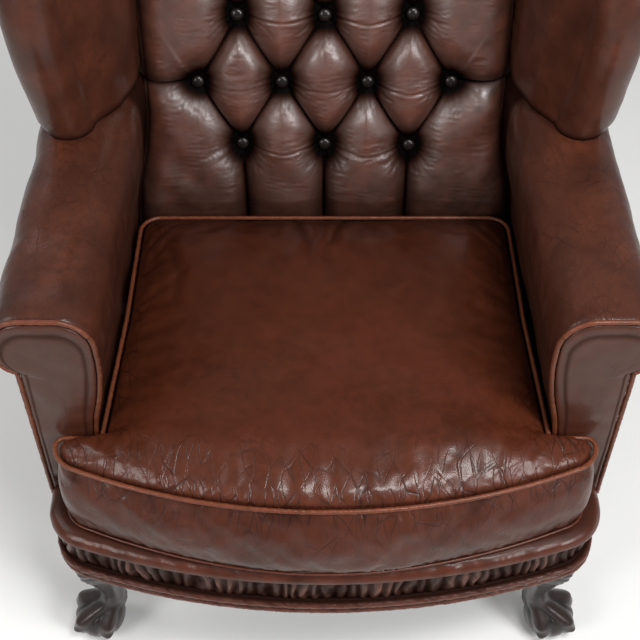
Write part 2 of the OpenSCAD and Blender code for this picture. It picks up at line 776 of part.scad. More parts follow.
module back_buttons() {
    stem = button_r * 0.75;
    color([0.1, 0.06, 0.05])
        on_back()
            for (b = buttons)
                at_button(b, button_depth)
                    rotate_extrude($fn = 32)
                        polygon(concat([[0, gap], [button_r * 0.25, button_r * 0.25], [button_r * 0.25, stem],
                            [button_r, stem]],
                            [for (a = [15 : 15 : 90]) [button_r * cos(a), stem + button_r * 0.62 * sin(a)]]));
}

module button_twine() {
    color("ivory")
        on_back()
            for (b = buttons)
                at_button(b, 0)
                    cylinder(h = button_depth - cover_t, r = twine_hole_r * 0.6, $fn = 16);
}

toggle_t = 3;
toggle_r = 11;
module button_toggles() {
    color("saddlebrown")
        on_back()
            for (b = buttons)
                translate([b[0], 0, b[1]])
                    rotate([-90, 0, 0])
                        cylinder(h = toggle_t, r = toggle_r, $fn = 32);
}

panel_clear = 1.5;
panel_lap = 1;
panel_gap = post_t + panel_clear;
wing_corner = 16;
wing_tip = 8;
panel_half_w = wing_in_x + wing_t;
function up_lean(z) = (z - rail_top_z) / cos(recline);
module outer_back_panel() {
    knee_y = leaning(rail_top_z, -panel_gap)[0];
    wing_v = up_lean(wing_top_z - wing_tip);
    half = concat([[0, panel_gap * lean], [panel_x, panel_gap * lean]],
        [for (p = arc([roll_x, roll_z], roll_r, -65, 80, 7)) [p[0], up_lean(p[1])]],
        [[panel_half_w, up_lean(arm_top_z)], [panel_half_w, wing_v - wing_corner],
            [panel_half_w - wing_corner, wing_v], [wing_in_x, wing_v],
            [wing_in_x, up_lean(crest_z - wing_corner)], [0, up_lean(crest_z - wing_corner)]]);
    color([0.3, 0.15, 0.1]) {
        on_back()
            translate([0, panel_gap + cover_t, 0])
                rotate([90, 0, 0])
                    linear_extrude(cover_t)
                        polygon(whole(half));
        box([-panel_x, knee_y, rail_bottom_z], [panel_x, knee_y + cover_t, rail_top_z + panel_lap]);
    }
}

cord_low_step = 12;
cord_top_step = 34;
module back_piping() {
    low = arm_top_z + cord_low_step;
    high = wing_top_z - cord_top_step;
    x = panel_half_w + piping_r;
    color([0.45, 0.2, 0.13])
        both_sides()
            tube([for (t = [0 : 0.125 : 1]) let (q = leaning(mid(low, high, t), -panel_gap)) [x, q[0], q[1]]],
                piping_r);
}

// Cushion: a T shape in plan, moved out by o, its bow set back by e. Its frame is the deck's
ear_x = cushion_half_w + cushion_spread + ear_w;
ear_r = 42;
ear_gap = 5;
ear_corner_r = 12;
ear_back_y = arm_front_y - 2 * piping_r - ear_gap - cushion_h * sin(deck_slope);
cushion_rear_y = front_y + front_step + cushion_d;
rear_corner_r = 30;
function t_half(o, e) = let (
        cy = front_y + front_step + piping_r + cushion_bow_r + e,
        ex = ear_x - ear_r,
        ey = cy - sqrt(pow(cushion_bow_r - ear_r, 2) - pow(ex, 2)),
        a = atan2(ey - cy, ex),
        side_x = cushion_half_w + cushion_spread + o,
        rear = cushion_rear_y + o)
    concat(
        arc([0, cy], cushion_bow_r + o, -90, a, 7),
        arc([ex, ey], ear_r + o, a, 0, 4),
        arc([ear_x - ear_corner_r, ear_back_y - ear_corner_r], ear_corner_r + o, 0, 90, 3),
        [[side_x, ear_back_y + o], [mid(side_x, cushion_half_w + o, 0.5), mid(ear_back_y, rear, 0.5)]],
        arc([cushion_half_w - rear_corner_r, cushion_rear_y - rear_corner_r], rear_corner_r + o, 0, 90, 4),
        [[0, rear]]);
function t_whole(o, e) = whole(t_half(o, e));
heart_step = 5;
t_heart = [0, ear_back_y - heart_step];
function shrink(path, t) = [for (p = path) t_heart + (p - t_heart) * t];
body_gap = 0.2;
body_o = -piping_r - body_gap;
foam_o = body_o - cover_t - gap;
front_lean = 19;
seam_z = cushion_h - piping_r;
seam_gap = 0.05;
dome_share = [1, 0.97, 0.9, 0.78, 0.6, 0.35];
side_share = [[0, 0.08], [0.25, 0], [0.55, 0.15], [0.8, 0.5], [1, 1]];

// A closed wall between outer and inner loops, from level to level
module ring_wall(outers, inners) {
    n = len(outers[0]);
    m = len(outers);
    h = n * m;
    skin = [for (i = [0 : m - 2], j = [0 : n - 1]) let (k = (j + 1) % n, a = i * n, b = a + n)
        each [[a + j, b + k, a + k], [a + j, b + j, b + k],
            [h + a + j, h + a + k, h + b + k], [h + a + j, h + b + k, h + b + j]]];
    rims = [for (j = [0 : n - 1]) let (k = (j + 1) % n, e = (m - 1) * n)
        each [[j, k, h + k], [j, h + k, h + j], [e + j, e + h + k, e + k], [e + j, e + h + j, e + h + k]]];
    polyhedron(concat([for (r = outers) each r], [for (r = inners) each r]), concat(skin, rims), convexity = 6);
}

module cushion_foam() {
    low = gap + cover_t + gap;
    high = seam_z - cover_t - gap;
    color("wheat")
        on_deck()
            loft(concat([at_z(shrink(t_whole(foam_o, 0), 0.5), low)],
                [for (s = side_share) at_z(t_whole(foam_o, s[1] * front_lean), mid(low, high, s[0]))],
                [for (t = dome_share) if (t < 1)
                    at_z(shrink(t_whole(foam_o, front_lean), t), high + crown_h * (1 - pow(t, 3)))]));
}

module cushion_top_panel() {
    edge = t_whole(body_o, front_lean);
    up = [for (t = dome_share) at_z(shrink(edge, t), seam_z + crown_h * (1 - pow(t, 3)))];
    color([0.35, 0.18, 0.11])
        on_deck()
            loft(concat(backwards([for (r = up) [for (q = r) q - [0, 0, cover_t]]]), up));
}

module cushion_boxing() {
    low = gap + cover_t + seam_gap;
    high = seam_z - cover_t - seam_gap;
    color([0.32, 0.16, 0.1])
        on_deck()
            ring_wall(
                [for (s = side_share) at_z(t_whole(body_o, s[1] * front_lean), mid(low, high, s[0]))],
                [for (s = side_share) at_z(t_whole(body_o - cover_t, s[1] * front_lean), mid(low, high, s[0]))]);
}

module cushion_bottom_panel() {
    color([0.32, 0.16, 0.1])
        on_deck()
            translate([0, 0, gap])
                linear_extrude(cover_t)
                    polygon(t_whole(body_o, 0));
}

module cushion_piping() {
    color([0.5, 0.24, 0.15])
        on_deck()
            tube(at_z(t_whole(0, front_lean), seam_z - cover_t / 2), piping_r, closed = true);
}

// Zip along the back of the boxing, and its slider
zip_half_l = 215;
zip_z = cushion_h * 0.45;
tape_t = 1;
tape_half_w = 13;
teeth_t = 1.4;
teeth_half_w = 2.5;
teeth_end = 4;
slider_l = 10;
slider_t = 4;
slider_half_w = 6;
slider_end = 8;
module cushion_zip() {
    y = cushion_rear_y + body_o;
    color("darkgoldenrod")
        on_deck() {
            box([-zip_half_l, y, zip_z - tape_half_w], [zip_half_l, y + tape_t, zip_z + tape_half_w]);
            box([-zip_half_l + teeth_end, y + tape_t, zip_z - teeth_half_w],
                [zip_half_l - teeth_end, y + tape_t + teeth_t, zip_z + teeth_half_w]);
        }
}

module zip_slider() {
    y = cushion_rear_y + body_o + tape_t + gap;
    color("gold")
        on_deck()
            difference() {
                box([zip_half_l - slider_end - slider_l, y, zip_z - slider_half_w],
                    [zip_half_l - slider_end, y + slider_t, zip_z + slider_half_w]);
                box([zip_half_l - slider_end - slider_l - cut, y - cut, zip_z - teeth_half_w - gap],
                    [zip_half_l - slider_end + cut, y + teeth_t, zip_z + teeth_half_w + gap]);
            }
}

front_rail();
back_rail();
mirror([1, 0, 0]) side_rail();  // left_side_rail
side_rail();  // right_side_rail
corner_blocks();
corner_screws();
mirror([1, 0, 0]) back_post();  // left_back_post
back_post();  // right_back_post
crest_rail();
lumbar_rail();
mirror([1, 0, 0]) arm_post();  // left_arm_post
arm_post();  // right_arm_post
mirror([1, 0, 0]) arm_rail();  // left_arm_rail
arm_rail();  // right_arm_rail
mirror([1, 0, 0]) wing_frame();  // left_wing_frame
wing_frame();  // right_wing_frame
mirror([1, 0, 0]) front_leg();  // left_front_leg
front_leg();  // right_front_leg
mirror([1, 0, 0]) rear_leg();  // left_rear_leg
rear_leg();  // right_rear_leg
foot_glides();
seat_springs();
spring_clips();
burlap();
deck_padding();
deck_cover();
back_webbing();
back_padding();
back_cover();
back_buttons();
button_twine();
button_toggles();
mirror([1, 0, 0]) arm_padding();  // left_arm_padding
arm_padding();  // right_arm_padding
mirror([1, 0, 0]) arm_cover();  // left_arm_cover
arm_cover();  // right_arm_cover
mirror([1, 0, 0]) arm_front();  // left_arm_front
arm_front();  // right_arm_front
arm_piping();
mirror([1, 0, 0]) wing_padding();  // left_wing_padding
wing_padding();  // right_wing_padding
mirror([1, 0, 0]) wing_cover();  // left_wing_cover
wing_cover();  // right_wing_cover
outer_back_panel();
back_piping();
border_roll();
ruched_strip();
base_piping();
dust_cover();
cushion_foam();
cushion_top_panel();
cushion_boxing();
cushion_bottom_panel();
cushion_piping();
cushion_zip();
zip_slider();
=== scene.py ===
from math import acos, atan2, cos, degrees, pi, radians, sin, sqrt, tan

import bmesh
import bpy
import numpy as np
from bpy.props import FloatProperty, FloatVectorProperty, PointerProperty
from bpy.types import Operator, Panel, PropertyGroup
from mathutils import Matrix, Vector


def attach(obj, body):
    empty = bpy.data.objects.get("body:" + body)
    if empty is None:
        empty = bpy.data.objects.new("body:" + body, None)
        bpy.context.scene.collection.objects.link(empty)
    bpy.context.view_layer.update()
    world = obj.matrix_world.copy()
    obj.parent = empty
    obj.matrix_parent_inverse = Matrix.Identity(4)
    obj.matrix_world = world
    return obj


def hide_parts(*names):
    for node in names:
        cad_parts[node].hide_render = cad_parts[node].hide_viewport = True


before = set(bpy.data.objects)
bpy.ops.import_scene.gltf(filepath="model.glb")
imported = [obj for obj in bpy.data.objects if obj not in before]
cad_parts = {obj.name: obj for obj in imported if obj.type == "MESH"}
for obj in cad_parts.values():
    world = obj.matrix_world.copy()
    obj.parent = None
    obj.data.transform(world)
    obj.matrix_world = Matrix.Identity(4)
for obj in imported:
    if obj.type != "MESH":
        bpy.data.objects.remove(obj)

bl_info = {
    "name": "Tufted Wingback Chair",
    "version": (1, 0, 0),
    "blender": (4, 5, 0),
    "location": "View3D > Sidebar > Chair",
    "description": "Builds the upholstery, trim and carved legs of a tufted wingback chair on its frame",
    "category": "Object",
}

MM = 0.001


def length(name, text, value, low, high):
    """A length in metres with its limits."""
    return FloatProperty(name=name, description=text, default=value, min=low, max=high, unit="LENGTH",
                         precision=4)


def colour(name, text, value):
    """A linear colour."""
    return FloatVectorProperty(name=name, description=text, default=value, min=0, max=1, size=3,
                               subtype="COLOR")


class ChairSizes(PropertyGroup):
    """Sizes of the soft pieces and the carving."""

    tuft_w: length("Button spacing", "Distance between buttons in a row", 0.124, 0.1, 0.126)
    tuft_h: length("Row spacing", "Distance between rows of buttons", 0.1, 0.085, 0.11)
    first_row: length("First row", "Height of the lowest row above the rails", 0.228, 0.2, 0.26)
    button_depth: length("Button depth", "Thickness of the padding under a button", 0.02, 0.014, 0.026)
    puff_h: length("Tuft height", "Height of the tufts above the buttons", 0.03, 0.018, 0.036)
    button_r: length("Button radius", "Radius of a covered button", 0.0095, 0.006, 0.012)
    crown_h: length("Crown", "Rise of the seat cushion above its piping", 0.026, 0.012, 0.04)
    piping_r: length("Piping radius", "Radius of the piping", 0.0032, 0.0025, 0.0045)
    fold_w: length("Fold width", "Width of one fold of the gathered strip", 0.0155, 0.009, 0.022)
    ball_r: length("Ball radius", "Radius of the ball under the claws", 0.037, 0.03, 0.042)
    wrinkle: length("Wrinkle depth", "Depth of the soft creases in the leather", 0.0016, 0.0, 0.004)


class ChairColours(PropertyGroup):
    """Colours of the leathers and the wood."""

    seat: colour("Seat leather", "Middle tone of the seat cushion", (0.0455, 0.011, 0.0047))
    back: colour("Back leather", "Middle tone of the tufted back", (0.06, 0.019, 0.0112))
    arm: colour("Arm leather", "Middle tone of the arms and wings", (0.04, 0.0124, 0.007))
    piping: colour("Piping leather", "Middle tone of the cushion piping", (0.08, 0.023, 0.0105))
    bead: colour("Bead leather", "Middle tone of the double piping at the base", (0.055, 0.0175, 0.011))
    strip: colour("Gathered leather", "Middle tone of the gathered strip", (0.038, 0.013, 0.0078))
    button: colour("Button leather", "Middle tone of the buttons", (0.0065, 0.0045, 0.004))
    leg: colour("Leg wood", "Stain of the carved legs", (0.012, 0.0055, 0.004))
    floor: colour("Floor", "Plain floor and backdrop", (0.72, 0.72, 0.71))


def sizes():
    return bpy.context.scene.chair_sizes


def colours():
    return bpy.context.scene.chair_colours


# The frame's own measures, in millimetres, as the CAD has them
OUT_X = 400.0
FRONT_Y = -412.0
REAR_Y = 228.0
TRIM_T = 17.0
BOW_R = 1000.0
CUSHION_BOW_R = 820.0
CORNER_R = 50.0
RECLINE = radians(12)
LEAN = tan(RECLINE)
RAIL_LOW = 236.0
RAIL_TOP = 310.0
POST_T = 45.0
BACK_Y = REAR_Y - POST_T / cos(RECLINE)
CREST_R = 22.0
CREST_V = 722.0
CREST_Z = RAIL_TOP + CREST_V * cos(RECLINE)
ROLL_R = 48.0
ARM_W = 136.0
ARM_TOP = 660.0
ARM_IN_X = OUT_X - ARM_W
HOLLOW = 27.0
ARM_FRONT_Y = FRONT_Y + 150
BACK_HALF_W = ARM_IN_X - 4
RAIL_X = OUT_X - ROLL_R + 20 - TRIM_T
PANEL_X = RAIL_X + TRIM_T
RAIL_FRONT_Y = FRONT_Y + TRIM_T + 1
BOW_Y = RAIL_FRONT_Y + BOW_R
CORNER_X = RAIL_X - CORNER_R
CORNER_Y = BOW_Y - sqrt((BOW_R - CORNER_R) ** 2 - CORNER_X ** 2)
DECK_Z = RAIL_TOP + 26
DECK_SLOPE = radians(1.25)
CUSHION_H = 118.0
CUSHION_D = 558.0
CUSHION_HALF_W = 279.0
SPREAD = 8.0
FACING_INSET = 4.5
TRIM_H = 75.0
WING_FLARE = 0.24
EAR_X = CUSHION_HALF_W + SPREAD + 58
EAR_R = 42.0
WING_REACH = 250.0
WING_T = 74.0
WING_TOP = CREST_Z + 42
WING_LOW = ARM_TOP + 0.3
WING_WIDE = ARM_TOP + 170
WING_IN_X = ARM_IN_X + 1
PANEL_GAP = POST_T + 1.5


# Number tools
def mix(a, b, t):
    return a + (b - a) * t


def clip01(a):
    return np.clip(a, 0.0, 1.0)


def whole(a):
    return np.rint(a).astype(int)


def join(*columns):
    return np.column_stack(columns)


def bell(x, width):
    """A bump that is 1 at x = 0 and falls to 1 / e at the width."""
    return np.exp(-(x / width) ** 2)


def soft(a):
    """Smooth step from 0 to 1."""
    a = clip01(a)
    return a * a * (3 - 2 * a)


def steps(a, b, n):
    return np.linspace(a, b, n + 1)


def table(t, rows, k=1):
    """A smooth curve through the rows (place, value...), column k, read at t."""
    x = np.array([r[0] for r in rows], float)
    y = np.array([r[k] for r in rows], float)
    m = np.gradient(y, x)
    i = np.clip(np.searchsorted(x, t, side="right") - 1, 0, len(x) - 2)
    h = x[i + 1] - x[i]
    s = clip01((t - x[i]) / h)
    return ((2 * s ** 3 - 3 * s ** 2 + 1) * y[i] + (s ** 3 - 2 * s ** 2 + s) * h * m[i]
            + (3 * s ** 2 - 2 * s ** 3) * y[i + 1] + (s ** 3 - s ** 2) * h * m[i + 1])


def ripple(p, size, seed, n=8):
    """Smooth noise of about unit height in points p, with features of that size in millimetres."""
    rng = np.random.default_rng(seed)
    out = np.zeros(len(p))
    for _ in range(n):
        d = rng.normal(size=p.shape[1])
        e = rng.normal(size=p.shape[1])
        f = 2 * pi / size * rng.uniform(0.55, 1.6)
        bend = 1.4 * np.sin(p @ (e / np.linalg.norm(e)) * f * 0.37 + rng.uniform(0, 6))
        out += np.sin(p @ (d / np.linalg.norm(d)) * f + bend + rng.uniform(0, 6))
    return out / sqrt(n) * 1.2


def to_line(p, line):
    """Distance from points p to a polyline, and the place along it from 0 to 1."""
    line = np.asarray(line, float)
    best = np.full(len(p), 1e9)
    place = np.zeros(len(p))
    total = len(line) - 1
    for k in range(total):
        a, d = line[k], line[k + 1] - line[k]
        t = clip01(((p - a) @ d) / max(d @ d, 1e-9))
        r = np.linalg.norm(p - a - t[:, None] * d, axis=1)
        near = r < best
        best[near] = r[near]
        place[near] = (k + t[near]) / total
    return best, place


def arc(cx, cy, r, a0, a1, n):
    a = np.radians(np.linspace(a0, a1, n + 1))
    return [(cx + r * cos(q), cy + r * sin(q)) for q in a]


def even(path, n, closed=False):
    """n points at even steps along a path."""
    p = np.asarray(path, float)
    if closed:
        p = np.vstack([p, p[:1]])
    s = np.concatenate([[0], np.cumsum(np.linalg.norm(np.diff(p, axis=0), axis=1))])
    t = np.linspace(0, s[-1], n + 1)[:n] if closed else np.linspace(0, s[-1], n)
    return np.column_stack([np.interp(t, s, p[:, k]) for k in range(p.shape[1])])


def turn_x(p, angle, y=0.0, z=0.0):
    """Points turned about a line along X through y, z."""
    q = np.array(p, float)
    dy, dz = q[:, 1] - y, q[:, 2] - z
    q[:, 1] = y + dy * cos(angle) - dz * sin(angle)
    q[:, 2] = z + dy * sin(angle) + dz * cos(angle)
    return q


def on_back(p):
    """From the back's own frame (x, -height, up the lean) to the chair's."""
    q = turn_x(p, -RECLINE)
    q[:, 1] += BACK_Y
    q[:, 2] += RAIL_TOP
    return q


def on_deck(p):
    q = np.array(p, float)
    q[:, 1] -= FRONT_Y
    q = turn_x(q, -DECK_SLOPE)
    q[:, 1] += FRONT_Y
    q[:, 2] += DECK_Z
    return q


def lean_y(z, w):
    return BACK_Y + (z - RAIL_TOP) * LEAN - w / cos(RECLINE)


class Line:
    """A dense line in plan with its outward normals, read by distance along it."""

    def __init__(self, path):
        self.p = np.asarray(path, float)
        step = np.linalg.norm(np.diff(self.p, axis=0), axis=1)
        self.s = np.concatenate([[0], np.cumsum(step)])
        d = np.gradient(self.p, axis=0)
        d /= np.linalg.norm(d, axis=1)[:, None]
        self.n = join(d[:, 1], -d[:, 0])
        self.length = self.s[-1]

    def at(self, s, o):
        q = [np.interp(s, self.s, self.p[:, k]) + o * np.interp(s, self.s, self.n[:, k]) for k in (0, 1)]
        return np.column_stack(q)


def seat_line(y_end):
    """The seat frame's outline from its left end round the bow to its right end."""
    tangent = degrees(atan2(CORNER_Y - BOW_Y, CORNER_X))
    half = arc(0, BOW_Y, BOW_R, -90, tangent, 160) + arc(CORNER_X, CORNER_Y, CORNER_R, tangent, 0, 60)
    half += [(RAIL_X, mix(CORNER_Y, y_end, t)) for t in steps(0, 1, 90)[1:]]
    return Line([(-x, y) for x, y in reversed(half[1:])] + half)


# Meshes
def woven(name, sets, fill=False):
    """A mesh from grids, each (columns, rows, place). place(u, v) gives points in mm, then painted shade,
    and the lightening of rubbed parts and painted highlights.
    """
    bm = bmesh.new()
    shade = bm.verts.layers.float.new("shade")
    wear = bm.verts.layers.float.new("wear")
    for cols, rows, place in sets:
        cols, rows = np.asarray(cols, float), np.asarray(rows, float)
        made = bmesh.ops.create_grid(bm, x_segments=len(cols) - 1, y_segments=len(rows) - 1, size=1)["verts"]
        g = np.array([(v.co.x, v.co.y) for v in made])
        u = cols[whole((g[:, 0] + 1) / 2 * (len(cols) - 1))]
        v = rows[whole((g[:, 1] + 1) / 2 * (len(rows) - 1))]
        got = place(u, v)
        got = got if isinstance(got, tuple) else (got,)
        for k, vert in enumerate(made):
            vert.co = got[0][k] * MM
            if len(got) > 1:
                vert[shade] = got[1][k]
            if len(got) > 2:
                vert[wear] = got[2][k]
    bmesh.ops.remove_doubles(bm, verts=bm.verts[:], dist=2e-6)
    if fill:
        bmesh.ops.holes_fill(bm, edges=[e for e in bm.edges if e.is_boundary], sides=0)
    bmesh.ops.recalc_face_normals(bm, faces=bm.faces[:])
    return from_bmesh(name, bm)


def from_bmesh(name, bm):
    mesh = bpy.data.meshes.new(name)
    bm.to_mesh(mesh)
    bm.free()
    obj = bpy.data.objects.new(name, mesh)
    bpy.context.scene.collection.objects.link(obj)
    mesh.shade_smooth()
    return obj


def read(items, key, width=3):
    out = np.empty(len(items) * width, np.float32)
    items.foreach_get(key, out)
    return out.reshape(-1, width).astype(float)


def points(obj):
    return read(obj.data.vertices, "co") / MM


def set_points(obj, p):
    obj.data.vertices.foreach_set("co", (p * MM).astype(np.float32).ravel())
    obj.data.update()


def normals(obj):
    return read(obj.data.vertex_normals, "vector")


def set_values(obj, name, values):
    layer = obj.data.attributes.get(name) or obj.data.attributes.new(name, "FLOAT", "POINT")
    layer.data.foreach_set("value", np.asarray(values, np.float32))


def get_values(obj, name):
    return read(obj.data.attributes[name].data, "value", 1)[:, 0]


def soften(obj, depth, seed, scale, keep):
    """Soft uneven swells and small wrinkles along the normals, where keep is 1."""
    p, n = points(obj), normals(obj)
    d = depth * (ripple(p, 95 * scale, seed) * 0.8 + ripple(p, 38 * scale, seed + 1) * 0.45)
    fold = 1 - np.abs(ripple(p, 46 * scale, seed + 2))
    d -= depth * 0.7 * bell(1 - fold, 0.16) * clip01(ripple(p, 140 * scale, seed + 3))
    set_points(obj, p + n * (d * keep)[:, None])


def finish(obj, material, body, slot, *nodes):
    """Gives the piece its material and body, and lets it stand for the CAD nodes."""
    obj.data.materials.append(material)
    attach(obj, body)
    if nodes:
        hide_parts(*nodes)


def tube(name, lines, r, sides, closed=False, wobble=0.05):
    """Round cord along dense lines of points; wobble gives its cover small gathers."""
    sets = []
    for path in lines:
        path = np.asarray(path, float)
        ends = path if not closed else np.vstack([path, path[:1]])
        s = np.concatenate([[0], np.cumsum(np.linalg.norm(np.diff(ends, axis=0), axis=1))])
        d = np.gradient(ends, axis=0)
        if closed:
            d[0] = d[-1] = ends[1] - ends[-2]
        d /= np.linalg.norm(d, axis=1)[:, None]
        up = np.where(np.abs(d[:, 2:3]) < 0.9, [[0, 0, 1.0]], [[0, 1.0, 0]])
        a = np.cross(up, d)
        a /= np.linalg.norm(a, axis=1)[:, None]
        b = np.cross(d, a)
        seed = len(sets) + 3

        def place(u, v, ends=ends, s=s, a=a, b=b, seed=seed):
            i = whole(v)
            q = radians(1) * u
            broad = ripple(join(s[i], 2 * np.cos(q), 2 * np.sin(q)), 9, seed)
            tight = ripple(join(s[i], np.cos(q), np.sin(q)), 4, seed + 1)
            rr = r * (1 + wobble * (broad + 0.6 * tight))
            p = ends[i] + rr[:, None] * (a[i] * np.cos(q)[:, None] + b[i] * np.sin(q)[:, None])
            return p, np.zeros(len(u)), clip01(0.5 + 0.5 * np.sin(q))

        sets.append((steps(0, 360, sides), np.arange(len(ends)), place))
    return woven(name, sets, fill=not closed)


# Materials
class Shader:
    """A node tree built one node at a time, on the object's own coordinates."""

    def __init__(self, name):
        self.mat = bpy.data.materials.new(name)
        self.mat.use_nodes = True
        self.tree = self.mat.node_tree
        self.out = next(n for n in self.tree.nodes if n.type == "BSDF_PRINCIPLED")
        self.coords = self.tree.nodes.new("ShaderNodeTexCoord").outputs["Object"]

    def node(self, kind, inputs=(), **values):
        n = self.tree.nodes.new("ShaderNode" + kind)
        for key, value in values.items():
            setattr(n, key, value)
        for key, value in dict(inputs).items():
            self.put(n.inputs[key], value)
        return n

    def put(self, socket, value):
        if isinstance(value, bpy.types.NodeSocket):
            self.tree.links.new(value, socket)
        else:
            socket.default_value = value

    def set(self, **values):
        for key, value in values.items():
            self.put(self.out.inputs[key.replace("_", " ")], value)

    def noise(self, scale, detail=4.0, rough=0.55, warp=0.0, at=None):
        n = self.node("TexNoise", {"Scale": scale, "Detail": detail, "Roughness": rough, "Distortion": warp,
                                   "Vector": at or self.coords})
        return n.outputs["Fac"]

    def cells(self, scale, feature="F1", at=None):
        n = self.node("TexVoronoi", {"Scale": scale, "Vector": at or self.coords}, feature=feature)
        return n.outputs["Distance"]

    def math(self, kind, a, b=0.0, c=0.0, clamp=False):
        return self.node("Math", {0: a, 1: b, 2: c}, operation=kind, use_clamp=clamp).outputs[0]

    def mul(self, a, b):
        return self.math("MULTIPLY", a, b)

    def ramp(self, value, low, high, to_low=0.0, to_high=1.0):
        n = self.node("MapRange", {"Value": value, "From Min": low, "From Max": high, "To Min": to_low,
                                   "To Max": to_high}, interpolation_type="SMOOTHSTEP")
        return n.outputs["Result"]

    def mix(self, t, a, b):
        n = self.node("Mix", data_type="RGBA")
        for i, value in ((0, t), (6, a), (7, b)):
            self.put(n.inputs[i], (*value, 1.0) if isinstance(value, tuple) and len(value) == 3 else value)
        return n.outputs[2]

    def value(self, name):
        return self.node("Attribute", attribute_name=name).outputs["Fac"]

    def stretched(self, x, y, z):
        n = self.node("Mapping", {"Scale": (x, y, z), "Vector": self.coords}, vector_type="POINT")
        return n.outputs["Vector"]

    def drawn_out(self, angle, ratio, at):
        """Coordinates turned by that angle, then stretched along Y and Z by that ratio."""
        n = self.node("Mapping", {"Rotation": (0.0, angle, angle), "Scale": (1.0, ratio, ratio),
                                  "Vector": at}, vector_type="TEXTURE")
        return n.outputs["Vector"]

    def warped(self, scale, depth):
        """Coordinates pushed about by noise of that scale."""
        n = self.node("TexNoise", {"Scale": scale, "Detail": 2.0, "Vector": self.coords})
        move = self.node("VectorMath", {0: n.outputs["Color"], 1: (0.5, 0.5, 0.5)}, operation="SUBTRACT")
        size = self.node("VectorMath", {0: move.outputs[0], "Scale": depth}, operation="SCALE")
        return self.node("VectorMath", {0: self.coords, 1: size.outputs[0]}, operation="ADD").outputs[0]

    def bump(self, height, distance, strength=1.0, under=None):
        n = self.node("Bump", {"Height": height, "Distance": distance, "Strength": strength})
        if under is not None:
            self.put(n.inputs["Normal"], under)
        return n.outputs["Normal"]


def times(c, k, warm=0.0):
    return (min(1, c[0] * k * (1 + warm)), min(1, c[1] * k), min(1, c[2] * k * (1 - warm)))


def leather(name, base, rough, grain, crack, cracks_at, deep, rub_and_highlight, mottle, coat, gloss=0.17):
    """Aged aniline leather: mottled dye, pores and fine crossing creases, painted shade in the recesses that
    also dims the gloss there, and rubbed parts and painted highlights lightened.
    """
    s = Shader(name)
    big = s.ramp(s.noise(7, 6, 0.6, 0.4), 0.25, 0.75)
    small = s.ramp(s.noise(46, 7, 0.66, 0.3), 0.3, 0.72)
    tone = s.mix(big, times(base, 1 - 0.36 * mottle), times(base, 1 + 0.2 * mottle, 0.04))
    tone = s.mix(s.mul(small, 0.45 * mottle), tone, times(base, 1 + 0.75 * mottle, 0.08))
    spots = s.ramp(s.noise(150, 4, 0.7), 0.6, 0.74)
    tone = s.mix(s.mul(spots, 0.3 * mottle), tone, times(base, 0.42))
    # Rubbed parts and painted highlights, read from one attribute, are lightened here
    wear = s.math("MULTIPLY", s.value("wear"), s.ramp(s.noise(70, 6, 0.65, 0.6), 0.28, 0.7, 0.25, 1.0),
                  clamp=True)
    tone = s.mix(wear, tone, times(base, rub_and_highlight, 0.1))
    at = s.warped(11, 0.03)
    web = s.cells(cracks_at, "DISTANCE_TO_EDGE", s.drawn_out(0.4, 4.0, at))
    fine = s.cells(cracks_at * 1.3, "DISTANCE_TO_EDGE", s.drawn_out(-0.45, 4.5, at))
    lines = s.math("MAXIMUM", s.ramp(web, 0.0, 0.05, 1.0, 0.0), s.ramp(fine, 0.0, 0.055, 0.8, 0.0))
    broken = s.ramp(s.noise(26, 3, 0.6), 0.3, 0.56)
    lines = s.mul(lines, broken)
    where = s.ramp(s.noise(7, 3, 0.6), 0.42, 0.66)
    amount = s.math("ADD", s.mul(where, crack), s.value("crease"), clamp=True)
    lines = s.mul(lines, amount)
    # The crease lines are painted darker: partly the cracked finish, partly painted shade in the creases
    tone = s.mix(s.mul(lines, 0.7), tone, times(base, 0.3))
    # Painted shade: the shade attribute darkens recesses, seams and shaded sides
    shade = s.value("shade")
    tone = s.mix(shade, tone, times(base, deep, -0.05))
    pores = s.cells(720, "SMOOTH_F1")
    grained = s.math("ADD", s.mul(pores, 0.7), s.mul(s.noise(330, 5, 0.6), 0.5))
    normal = s.bump(grained, 0.00022 * grain, 0.8)
    normal = s.bump(s.math("SUBTRACT", 1.0, lines), 0.0005, 0.8, normal)
    normal = s.bump(s.noise(30, 3, 0.5, 0.4), 0.0014, 0.3, normal)
    dull = s.math("MULTIPLY_ADD", small, 0.12, rough - 0.05)
    # Painted shade also turns the gloss and the coat down where the shade attribute is high
    s.set(Base_Color=tone, Roughness=s.math("MULTIPLY_ADD", shade, 0.25, dull), Normal=normal,
          Specular_IOR_Level=s.ramp(shade, 0.1, 0.85, gloss, 0.03),
          Coat_Weight=s.ramp(shade, 0.0, 0.7, coat, 0.0), Coat_Roughness=0.2, Coat_Normal=normal)
    return s.mat


def wood(name, base, rough, polish=0.0):
    """Straight grain along Z with darker pores."""
    s = Shader(name)
    long = s.stretched(1.0, 1.0, 0.08)
    rings = s.ramp(s.noise(60, 5, 0.6, 1.2, long), 0.3, 0.7)
    pores = s.ramp(s.noise(420, 3, 0.6, 0.0, long), 0.55, 0.7)
    tone = s.mix(rings, times(base, 0.6), times(base, 1.35, 0.05))
    tone = s.mix(s.mul(pores, 0.5), tone, times(base, 0.4))
    # Painted shade from the shade attribute darkens the carving's hollows and the legs' feet; the line after
    # lightens rubbed high points
    tone = s.mix(s.value("shade"), tone, times(base, 0.25))
    tone = s.mix(s.mul(s.value("wear"), 0.7), tone, times(base, 2.3, 0.08))
    s.set(Base_Color=tone, Roughness=rough, Normal=s.bump(rings, 0.0003, 0.4), Specular_IOR_Level=0.25,
          Coat_Weight=polish, Coat_Roughness=0.2)
    return s.mat


